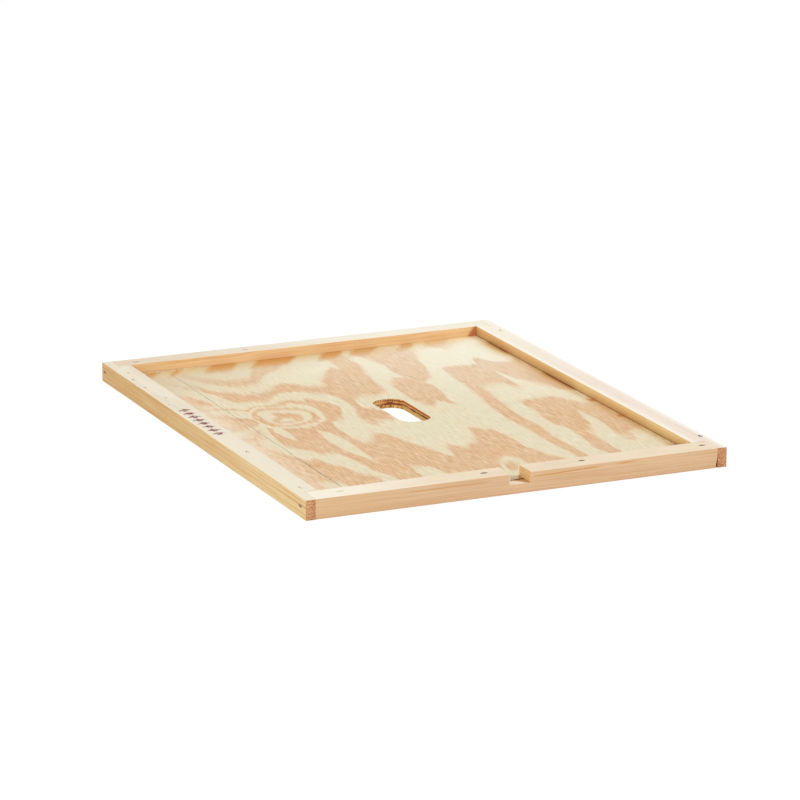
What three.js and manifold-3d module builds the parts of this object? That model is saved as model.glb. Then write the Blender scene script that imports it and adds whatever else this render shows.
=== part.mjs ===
// Hive inner cover: a shallow pine tray that lies between a hive body and its roof.
// Four rabbeted rails frame a three-ply panel, which lies flush with their underside.
// The rails stand one bee space above the panel. A notch in the front rail is the upper
// entrance, and the slot in the panel takes a bee escape or a feeder.
// Millimetres. X runs across the cover, Y from the entrance to the back, Z up from the underside.

import * as THREE from 'three';
import { mergeVertices } from 'three/addons/utils/BufferGeometryUtils.js';
import Module from 'manifold-3d';

const wasm = await Module();
wasm.setup();

// Cover, outside
const coverWidth = 412.75;
const coverLength = 504.8;

// Panel, three veneers with a glue line between each two
const faceVeneerThickness = 2.9;
const coreVeneerThickness = 2.9;
const backVeneerThickness = 2.9;
const glueLine = 0.1;

// Rails: the wall stands beside the panel, and the lip reaches over its margin
const sideRailWidth = 22;
const frontRailWidth = 25.4;
const backRailWidth = 20;
const lipHeight = 9.4;
const sideWallThickness = 9.5;
const frontWallThickness = 11.6;
const backWallThickness = 9.5;
const arrisRadius = 0.5;
const arrisSegments = 3;

// Panel's clearance to the rails' walls
const sideEdgeGap = 0.5;
const frontEdgeGap = 1.4;
const backEdgeGap = 0.5;

// Corner joint: a rabbet across each end of a side rail leaves a tongue over the end rail's end
const tongueRelief = 0.3;
const jointGap = 0.3;

// Upper entrance, cut through the front rail down to the panel
const notchWidth = 19.6;
const notchOffset = -1.7;

// Escape slot in the panel
const slotWidth = 31.2;
const slotLength = 82.4;
const slotCornerRadius = 12.7;
const slotOffsetAcross = 2.3;
const slotOffsetAlong = 9.9;
const slotCurveSegments = 14;

// Narrow-crown staples
const stapleCrown = 6.35;
const stapleWireWidth = 1.27;
const stapleWireDepth = 1;
const stapleBendRadius = 0.9;
const stapleBendSegments = 4;
const staplePointLength = 1.4;
const stapleSink = 0.35;
const stapleClearance = 0.25;
const rimStapleLeg = 14.3;
const cornerStapleLeg = 25.4;

// How far the staples that pin the panel stand in from its edge
const stapleEdgeMargin = 1.2;

// How high the corner staples' centre stands over the panel's rabbet
const cornerStapleRise = 1.2;

// Corner staples, from the cover's end to the middle of the crown
const cornerStapleSetbacks = { front_left: 12.7, back_left: 7, front_right: 8, back_right: 7 };

// Rim staples, by rail. A place along the rail is a share of the cover's width or length,
// from its middle. Two staples of the right rail and one of the left were driven wide:
// they stand in the wall, at a share of its thickness from the outside, and miss the panel.
const frontStapleShares = [-0.407, -0.071, 0.163, 0.457];
const backStapleShares = [-0.4255, -0.151];
const leftStapleShares = [-0.4245, -0.182];
const leftWideStapleShares = [{ along: 0.356, across: 0.55 }];
const rightWideStapleShares = [{ along: -0.417, across: 0.5 }, { along: 0.411, across: 0.7 }];

// How far a cutter runs past what it cuts
const overrun = 5;

// Heights and places that follow from the sizes above
const coreBottom = backVeneerThickness + glueLine;
const faceBottom = coreBottom + coreVeneerThickness + glueLine;
const panelTop = faceBottom + faceVeneerThickness;
const rabbetCeiling = panelTop + glueLine;
const railHeight = rabbetCeiling + lipHeight;
const tongueThickness = sideWallThickness - tongueRelief;
const endRailLength = coverWidth - 2 * (tongueThickness + jointGap);

const across = new THREE.Vector3(1, 0, 0);
const along = new THREE.Vector3(0, 1, 0);
const up = new THREE.Vector3(0, 0, 1);

const sideRailColour = 0xe6cfa2;
const endRailColour = 0xe3c193;
const faceVeneerColour = 0xe6c9a0;
const coreVeneerColour = 0xc9a06a;
const backVeneerColour = 0xddbd90;
const stapleColour = 0x8d8f90;

function wood(colour) {
  return new THREE.MeshStandardMaterial({ color: colour, roughness: 0.72, metalness: 0 });
}

function steel(colour) {
  return new THREE.MeshStandardMaterial({ color: colour, roughness: 0.4, metalness: 1 });
}

// A closed geometry as a solid that can be cut.
function solidOf(geometry) {
  const bare = geometry.index ? geometry.toNonIndexed() : geometry.clone();
  bare.deleteAttribute('normal');
  bare.deleteAttribute('uv');
  const merged = mergeVertices(bare);
  return new wasm.Manifold(new wasm.Mesh({
    numProp: 3,
    vertProperties: new Float32Array(merged.attributes.position.array),
    triVerts: new Uint32Array(merged.index.array),
  }));
}

function geometryOf(solid) {
  const mesh = solid.getMesh();
  const geometry = new THREE.BufferGeometry();
  geometry.setAttribute('position', new THREE.BufferAttribute(mesh.vertProperties, 3));
  geometry.setIndex(new THREE.BufferAttribute(mesh.triVerts, 1));
  const faceted = geometry.toNonIndexed();
  faceted.computeVertexNormals();
  return faceted;
}

// A box between two corners, as a solid.
function block(low, high) {
  const size = high.clone().sub(low);
  const middle = low.clone().add(high).multiplyScalar(0.5);
  const box = new THREE.BoxGeometry(size.x, size.y, size.z);
  box.translate(middle.x, middle.y, middle.z);
  return solidOf(box);
}

// A rail's section, from its outer face inwards: wall, rabbet for the panel, and lip.
// The long edges that hands meet are eased to a small radius.
function railSection(width, wall) {
  const r = arrisRadius;
  const section = new THREE.Shape();
  section.moveTo(r, 0);
  section.lineTo(wall, 0);
  section.lineTo(wall, rabbetCeiling);
  section.lineTo(width, rabbetCeiling);
  section.lineTo(width, railHeight - r);
  section.absarc(width - r, railHeight - r, r, 0, Math.PI / 2);
  section.lineTo(r, railHeight);
  section.absarc(r, railHeight - r, r, Math.PI / 2, Math.PI);
  section.lineTo(0, r);
  section.absarc(r, r, r, Math.PI, 1.5 * Math.PI);
  return section;
}

// A length of rail whose outer face stands at the given reach from the cover's middle.
function railBlank(width, wall, length, inward, reach) {
  const options = { depth: length, bevelEnabled: false, curveSegments: arrisSegments };
  const blank = new THREE.ExtrudeGeometry(railSection(width, wall), options);
  blank.translate(-reach, 0, -length / 2);
  const run = inward.clone().cross(up);
  blank.applyMatrix4(new THREE.Matrix4().makeBasis(inward, up, run));
  return solidOf(blank);
}

// A side rail runs the cover's full length. The rabbet across each end takes the end rail,
// so that only the tongue is left there.
function sideRail(side) {
  const inward = across.clone().multiplyScalar(-side);
  let rail = railBlank(sideRailWidth, sideWallThickness, coverLength, inward, coverWidth / 2);
  const tongueFace = side * (coverWidth / 2 - tongueThickness);
  const past = side * (coverWidth / 2 - sideRailWidth - overrun);
  const ends = [
    [-coverLength / 2 - overrun, -coverLength / 2 + frontRailWidth + jointGap],
    [coverLength / 2 - backRailWidth - jointGap, coverLength / 2 + overrun],
  ];
  for (const [near, far] of ends) {
    rail = rail.subtract(block(
      new THREE.Vector3(Math.min(tongueFace, past), near, -overrun),
      new THREE.Vector3(Math.max(tongueFace, past), far, railHeight + overrun),
    ));
  }
  return rail;
}

// The front rail, with the entrance notch cut down to the panel's top.
function frontRail() {
  const rail = railBlank(frontRailWidth, frontWallThickness, endRailLength, along, coverLength / 2);
  return rail.subtract(block(
    new THREE.Vector3(notchOffset - notchWidth / 2, -coverLength / 2 - overrun, panelTop),
    new THREE.Vector3(
      notchOffset + notchWidth / 2,
      -coverLength / 2 + frontRailWidth + overrun,
      railHeight + overrun,
    ),
  ));
}

function backRail() {
  const inward = along.clone().negate();
  return railBlank(backRailWidth, backWallThickness, endRailLength, inward, coverLength / 2);
}

// The escape slot's outline, with blunt round ends.
function slotOutline() {
  const halfWidth = slotWidth / 2;
  const halfLength = slotLength / 2;
  const r = slotCornerRadius;
  const slot = new THREE.Path();
  slot.absarc(slotOffsetAcross + halfWidth - r, slotOffsetAlong + halfLength - r, r, 0, Math.PI / 2);
  slot.absarc(slotOffsetAcross - halfWidth + r, slotOffsetAlong + halfLength - r, r, Math.PI / 2, Math.PI);
  slot.absarc(slotOffsetAcross - halfWidth + r, slotOffsetAlong - halfLength + r, r, Math.PI, 1.5 * Math.PI);
  slot.absarc(slotOffsetAcross + halfWidth - r, slotOffsetAlong - halfLength + r, r, 1.5 * Math.PI, 2 * Math.PI);
  slot.closePath();
  return slot;
}

// One veneer of the panel, as large as the rails' rabbets take.
function veneer(bottom, thickness) {
  const side = coverWidth / 2 - sideWallThickness - sideEdgeGap;
  const front = -coverLength / 2 + frontWallThickness + frontEdgeGap;
  const back = coverLength / 2 - backWallThickness - backEdgeGap;
  const sheet = new THREE.Shape();
  sheet.moveTo(-side, front);
  sheet.lineTo(side, front);
  sheet.lineTo(side, back);
  sheet.lineTo(-side, back);
  sheet.closePath();
  sheet.holes.push(slotOutline());
  const options = { depth: thickness, bevelEnabled: false, curveSegments: slotCurveSegments };
  const geometry = new THREE.ExtrudeGeometry(sheet, options);
  geometry.translate(0, 0, bottom);
  return solidOf(geometry);
}

// A staple seen from the front: crown on top at height zero, legs down to chisel points
// that are ground from the inside, so that the legs spread as they go in.
function stapleGeometry(leg) {
  const half = stapleCrown / 2;
  const wire = stapleWireWidth;
  const r = stapleBendRadius;
  const outline = new THREE.Shape();
  outline.moveTo(-half, -leg);
  outline.lineTo(-half + wire, -leg + staplePointLength);
  outline.lineTo(-half + wire, -wire);
  outline.lineTo(half - wire, -wire);
  outline.lineTo(half - wire, -leg + staplePointLength);
  outline.lineTo(half, -leg);
  outline.lineTo(half, -r);
  outline.absarc(half - r, -r, r, 0, Math.PI / 2);
  outline.lineTo(-half + r, 0);
  outline.absarc(-half + r, -r, r, Math.PI / 2, Math.PI);
  outline.closePath();
  const options = { depth: stapleWireDepth, bevelEnabled: false, curveSegments: stapleBendSegments };
  const geometry = new THREE.ExtrudeGeometry(outline, options);
  geometry.translate(0, 0, -stapleWireDepth / 2);
  return geometry;
}

// The pocket that a staple crushes into the wood, open above the crown.
function pocketGeometry(leg) {
  const c = stapleClearance;
  const half = stapleCrown / 2 + c;
  const inner = stapleCrown / 2 - stapleWireWidth - c;
  const outline = new THREE.Shape();
  outline.moveTo(-half, -leg - c);
  outline.lineTo(-inner, -leg - c);
  outline.lineTo(-inner, -stapleWireWidth - c);
  outline.lineTo(inner, -stapleWireWidth - c);
  outline.lineTo(inner, -leg - c);
  outline.lineTo(half, -leg - c);
  outline.lineTo(half, stapleSink + overrun);
  outline.lineTo(-half, stapleSink + overrun);
  outline.closePath();
  const depth = stapleWireDepth + 2 * c;
  const geometry = new THREE.ExtrudeGeometry(outline, { depth, bevelEnabled: false });
  geometry.translate(0, 0, -depth / 2);
  return geometry;
}

// Where each staple goes: the point of the wood's face over its crown's middle,
// the crown's direction and the way out of the wood.
function stapleSpots() {
  const halfWidth = coverWidth / 2;
  const halfLength = coverLength / 2;
  const sidePin = halfWidth - sideWallThickness - sideEdgeGap - stapleEdgeMargin;
  const frontPin = -halfLength + frontWallThickness + frontEdgeGap + stapleEdgeMargin;
  const backPin = halfLength - backWallThickness - backEdgeGap - stapleEdgeMargin;
  const spots = [];
  const addRim = (rail, crown, places) => places.forEach(([x, y], i) => spots.push({
    name: `staple_${rail}_${i + 1}`,
    face: new THREE.Vector3(x, y, railHeight),
    crown,
    out: up,
    leg: rimStapleLeg,
  }));
  const wide = ({ along: a, across: w }, side) =>
    [side * (halfWidth - w * sideWallThickness), a * coverLength];
  addRim('front', across, frontStapleShares.map((share) => [share * coverWidth, frontPin]));
  addRim('back', across, backStapleShares.map((share) => [share * coverWidth, backPin]));
  addRim('left', along, [
    ...leftStapleShares.map((share) => [-sidePin, share * coverLength]),
    ...leftWideStapleShares.map((spot) => wide(spot, -1)),
  ]);
  addRim('right', along, rightWideStapleShares.map((spot) => wide(spot, 1)));
  for (const [corner, setback] of Object.entries(cornerStapleSetbacks)) {
    const [end, side] = corner.split('_');
    const sideSign = side === 'left' ? -1 : 1;
    const endSign = end === 'front' ? -1 : 1;
    spots.push({
      name: `corner_staple_${corner}`,
      face: new THREE.Vector3(
        sideSign * halfWidth,
        endSign * (halfLength - setback),
        rabbetCeiling + cornerStapleRise,
      ),
      crown: along,
      out: across.clone().multiplyScalar(sideSign),
      leg: cornerStapleLeg,
    });
  }
  return spots;
}

// The turn and place that take a staple from its own drawing to its spot.
function stapleMatrix({ face, crown, out }) {
  const matrix = new THREE.Matrix4().makeBasis(crown, out, crown.clone().cross(out));
  return matrix.setPosition(face.clone().addScaledVector(out, -stapleSink));
}

function piece(name, geometry, material) {
  const mesh = new THREE.Mesh(geometry, material);
  mesh.name = name;
  return mesh;
}

const spots = stapleSpots();
const pockets = spots
  .map((spot) => solidOf(pocketGeometry(spot.leg).applyMatrix4(stapleMatrix(spot))))
  .reduce((all, pocket) => all.add(pocket));

const frame = new THREE.Group();
const rails = [
  ['left_side_rail', sideRail(-1), sideRailColour],
  ['right_side_rail', sideRail(1), sideRailColour],
  ['front_end_rail', frontRail(), endRailColour],
  ['back_end_rail', backRail(), endRailColour],
];
for (const [name, solid, colour] of rails) {
  frame.add(piece(name, geometryOf(solid.subtract(pockets)), wood(colour)));
}

const panel = new THREE.Group();
const veneers = [
  ['panel_back_veneer', veneer(0, backVeneerThickness), backVeneerColour],
  ['panel_core_veneer', veneer(coreBottom, coreVeneerThickness), coreVeneerColour],
  ['panel_face_veneer', veneer(faceBottom, faceVeneerThickness), faceVeneerColour],
];
for (const [name, solid, colour] of veneers) {
  panel.add(piece(name, geometryOf(solid.subtract(pockets)), wood(colour)));
}

const fasteners = new THREE.Group();
for (const spot of spots) {
  const staple = piece(spot.name, stapleGeometry(spot.leg), steel(stapleColour));
  staple.applyMatrix4(stapleMatrix(spot));
  fasteners.add(staple);
}

const innerCover = new THREE.Group();
innerCover.name = 'hive_inner_cover';
innerCover.add(frame, panel, fasteners);

export default innerCover;
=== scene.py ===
import math
import random
from types import SimpleNamespace

import bpy
import numpy as np
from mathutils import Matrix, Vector
from mathutils.noise import noise


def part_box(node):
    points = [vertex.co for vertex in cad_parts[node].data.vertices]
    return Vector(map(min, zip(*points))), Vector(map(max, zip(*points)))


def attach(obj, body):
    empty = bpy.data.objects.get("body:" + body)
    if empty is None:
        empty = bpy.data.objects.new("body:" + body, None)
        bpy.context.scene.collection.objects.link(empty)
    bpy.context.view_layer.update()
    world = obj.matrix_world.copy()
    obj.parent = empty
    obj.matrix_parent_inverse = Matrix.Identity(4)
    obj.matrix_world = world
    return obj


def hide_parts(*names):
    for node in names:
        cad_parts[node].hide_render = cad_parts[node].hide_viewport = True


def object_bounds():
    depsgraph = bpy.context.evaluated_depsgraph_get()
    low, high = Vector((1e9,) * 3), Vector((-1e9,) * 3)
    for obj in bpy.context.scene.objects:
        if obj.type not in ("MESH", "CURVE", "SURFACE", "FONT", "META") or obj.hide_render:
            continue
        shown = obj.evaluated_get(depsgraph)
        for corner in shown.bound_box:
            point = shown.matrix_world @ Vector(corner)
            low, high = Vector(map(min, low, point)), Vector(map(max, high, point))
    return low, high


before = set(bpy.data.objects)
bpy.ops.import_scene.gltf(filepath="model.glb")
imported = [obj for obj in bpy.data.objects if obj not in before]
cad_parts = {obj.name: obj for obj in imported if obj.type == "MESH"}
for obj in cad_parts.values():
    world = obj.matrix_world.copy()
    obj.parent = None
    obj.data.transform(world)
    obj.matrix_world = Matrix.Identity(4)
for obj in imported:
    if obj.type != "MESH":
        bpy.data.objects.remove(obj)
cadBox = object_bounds()
mm = 0.001


def boxOf(node):                               # a CAD node's low and high corners, in millimetres
    return [[round(value / mm, 3) for value in corner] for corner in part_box(node)]


# What the scene takes from the frame, in millimetres
halfWidth, halfLength, railTop = (round(value / mm, 3) for value in cadBox[1])
panelFront, panelTop = boxOf("panel_face_veneer")[0][1], boxOf("panel_face_veneer")[1][2]
endRight, trayFront = boxOf("front_end_rail")[1][:2]
frontFace = boxOf("front_end_rail")[0][1]
trayBack = boxOf("back_end_rail")[0][1]
trayRight = boxOf("right_side_rail")[0][0]


# The camera: where it stands, how it is turned and its lens
cameraSettings = {
    "place": (-1.60864, -3.57342, 1.10919),    # metres
    "turn": (74.489, -0.081, -24.163),         # degrees
    "lens": 195.73,
    "sensor": 36.0,
}


def placeCamera(settings):
    turn = [math.radians(angle) for angle in settings["turn"]]
    bpy.ops.object.camera_add(location=settings["place"], rotation=turn)
    camera = bpy.context.object
    camera.data.lens = settings["lens"]
    camera.data.sensor_width = settings["sensor"]
    camera.data.clip_end = 60
    bpy.context.scene.camera = camera


placeCamera(cameraSettings)
bpy.context.scene.view_settings.view_transform = "Standard"
print("camera placed")


# Shader maths: a wire is an output socket that can be added, multiplied and so on
class Wire:
    def __init__(self, shader, socket):
        self.shader = shader
        self.socket = socket

    def maths(self, operation, *values):
        return self.shader.node("ShaderNodeMath", {"operation": operation}, dict(enumerate(values)))

    def __add__(self, other):
        return self.maths("ADD", self, other)

    def __sub__(self, other):
        return self.maths("SUBTRACT", self, other)

    def __rsub__(self, other):
        return self.maths("SUBTRACT", other, self)

    def __mul__(self, other):
        return self.maths("MULTIPLY", self, other)

    def __truediv__(self, other):
        return self.maths("DIVIDE", self, other)

    def __neg__(self):
        return self.maths("MULTIPLY", self, -1.0)

    def __abs__(self):
        return self.maths("ABSOLUTE", self)

    def __pow__(self, other):
        return self.maths("POWER", self, other)

    def over(self, other):
        return self.maths("MAXIMUM", self, other)

    def fraction(self):
        return self.maths("FRACT", self)

    def rise(self, start, end):                # 0 before start, 1 after end, smooth between
        settings = {"interpolation_type": "SMOOTHSTEP"}
        return self.shader.node("ShaderNodeMapRange", settings, {0: self, 1: start, 2: end})

    def fall(self, start, end):
        return 1 - self.rise(start, end)

    def bump(self, middle, halfWidth):         # 1 at the middle, 0 at halfWidth to either side
        return abs(self - middle).fall(0, halfWidth)

    def within(self, low, high, soft):         # 1 between low and high, with soft ends
        return self.rise(low, low + soft) * self.fall(high - soft, high)

    __radd__ = __add__
    __rmul__ = __mul__


class Shader:
    def __init__(self, owner):                 # a new material, or the world
        self.owner = owner
        owner.use_nodes = True
        self.tree = owner.node_tree
        self.tree.nodes.clear()

    def node(self, kind, settings, values, output=0):
        made = self.tree.nodes.new(kind)
        for key, value in settings.items():
            setattr(made, key, value)
        for key, value in values.items():
            if isinstance(value, Wire):
                self.tree.links.new(value.socket, made.inputs[key])
            else:
                made.inputs[key].default_value = value
        return Wire(self, made.outputs[output])

    def axes(self, vector):
        parts = self.node("ShaderNodeSeparateXYZ", {}, {0: vector}).socket.node
        return [Wire(self, socket) for socket in parts.outputs]

    def place(self):                           # where the point is on the part, in millimetres
        spot = self.node("ShaderNodeTexCoord", {}, {}, "Object")
        scaled = self.node("ShaderNodeVectorMath", {"operation": "SCALE"}, {0: spot, "Scale": 1 / mm})
        return self.axes(scaled)

    def facing(self):                          # which way the surface faces
        return self.axes(self.node("ShaderNodeTexCoord", {}, {}, "Normal"))

    def noise(self, x, y, z, detail=2.0, roughness=0.5):
        spot = self.node("ShaderNodeCombineXYZ", {}, {0: x, 1: y, 2: z})
        return self.node("ShaderNodeTexNoise", {"noise_dimensions": "3D"},
                         {"Vector": spot, "Scale": 1.0, "Detail": detail, "Roughness": roughness})

    def attribute(self, name):
        return self.node("ShaderNodeAttribute", {"attribute_name": name}, {}, "Fac")

    def mix(self, factor, first, second):
        return self.node("ShaderNodeMix", {"data_type": "RGBA"}, {0: factor, 6: first, 7: second}, 2)

    def paint(self, colour, *coats):           # each coat is how much of it there is, and its colour
        for amount, coat in coats:
            colour = self.mix(amount, colour, coat)
        return colour

    def finish(self, surface):
        isWorld = isinstance(self.owner, bpy.types.World)
        end = self.tree.nodes.new("ShaderNodeOutputWorld" if isWorld else "ShaderNodeOutputMaterial")
        self.tree.links.new(surface.socket, end.inputs["Surface"])
        return self.owner


def newShader(name):
    return Shader(bpy.data.materials.new(name))


def tone(red, green, blue):                    # a screen colour, 0 to 255, as Blender's linear colour
    def linear(value):
        share = value / 255
        return share / 12.92 if share <= 0.04045 else ((share + 0.055) / 1.055) ** 2.4
    return (linear(red), linear(green), linear(blue), 1.0)


def woodSurface(shader, colour, roughness, height, relief):
    normal = shader.node("ShaderNodeBump", {}, {"Strength": 1.0, "Distance": relief * mm, "Height": height})
    return shader.node("ShaderNodeBsdfPrincipled", {}, {
        "Base Color": colour, "Roughness": roughness, "Normal": normal, "Specular IOR Level": 0.3})


# The floor and the light
stageSettings = {
    "floorWidth": 60.0,                        # metres
    "floorHeight": -0.00005,                   # just clear of the cover
    "floorTone": (0.85, 0.85, 0.85, 1.0),
    "floorGlow": 1.05,
    "shadowShare": 0.12,                       # how much of the floor's own shade shows
    "worldStrength": 0.80,
    "lamps": {                                 # place in metres, width in metres, power in watts
        "skyLamp": ((0.7, 0.9, 2.6), 2.4, 17.0),
        "fillLamp": ((-2.4, -2.6, 0.9), 1.8, 26.0),
    },
}


def seenDirectly(shader):                      # 1 for what the camera sees, straight or in a gloss
    path = shader.node("ShaderNodeLightPath", {}, {}).socket.node
    rays = ("Is Camera Ray", "Is Glossy Ray", "Is Transmission Ray")
    straight, glossy, through = (Wire(shader, path.outputs[ray]) for ray in rays)
    return straight.over(glossy).over(through)


def layFloor(settings):
    bpy.ops.mesh.primitive_plane_add(size=settings["floorWidth"], location=(0, 0, settings["floorHeight"]))
    floor = bpy.context.object
    floor.name = "studioFloor"
    shader = newShader("studioFloorPaint")
    ownShade = shader.node("ShaderNodeBsdfDiffuse", {}, {"Color": settings["floorTone"]})
    white = shader.node("ShaderNodeEmission", {}, {
        "Color": (1, 1, 1, 1), "Strength": settings["floorGlow"]})
    share = seenDirectly(shader) * (1 - settings["shadowShare"])
    above = shader.node("ShaderNodeMixShader", {}, {0: share, 1: ownShade, 2: white})
    fromBelow = shader.node("ShaderNodeNewGeometry", {}, {}, "Backfacing")
    clear = shader.node("ShaderNodeBsdfTransparent", {}, {})       # so that the underside can be seen
    surface = shader.node("ShaderNodeMixShader", {}, {0: fromBelow, 1: above, 2: clear})
    floor.data.materials.append(shader.finish(surface))


def lightWorld(settings):
    world = bpy.data.worlds.new("studioLight")
    bpy.context.scene.world = world
    shader = Shader(world)
    strength = settings["worldStrength"] + seenDirectly(shader) * (1 - settings["worldStrength"])
    shader.finish(shader.node("ShaderNodeBackground", {}, {"Color": (1, 1, 1, 1), "Strength": strength}))


def hangLamps(settings):
    for name, (place, width, power) in settings["lamps"].items():
        aim = Vector(place).to_track_quat("Z", "Y").to_euler()
        bpy.ops.object.light_add(type="AREA", location=place, rotation=aim)
        lamp = bpy.context.object
        lamp.name = name
        lamp.data.shape = "DISK"
        lamp.data.size = width
        lamp.data.energy = power


layFloor(stageSettings)
lightWorld(stageSettings)
hangLamps(stageSettings)
print("floor and light ready")


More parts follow.
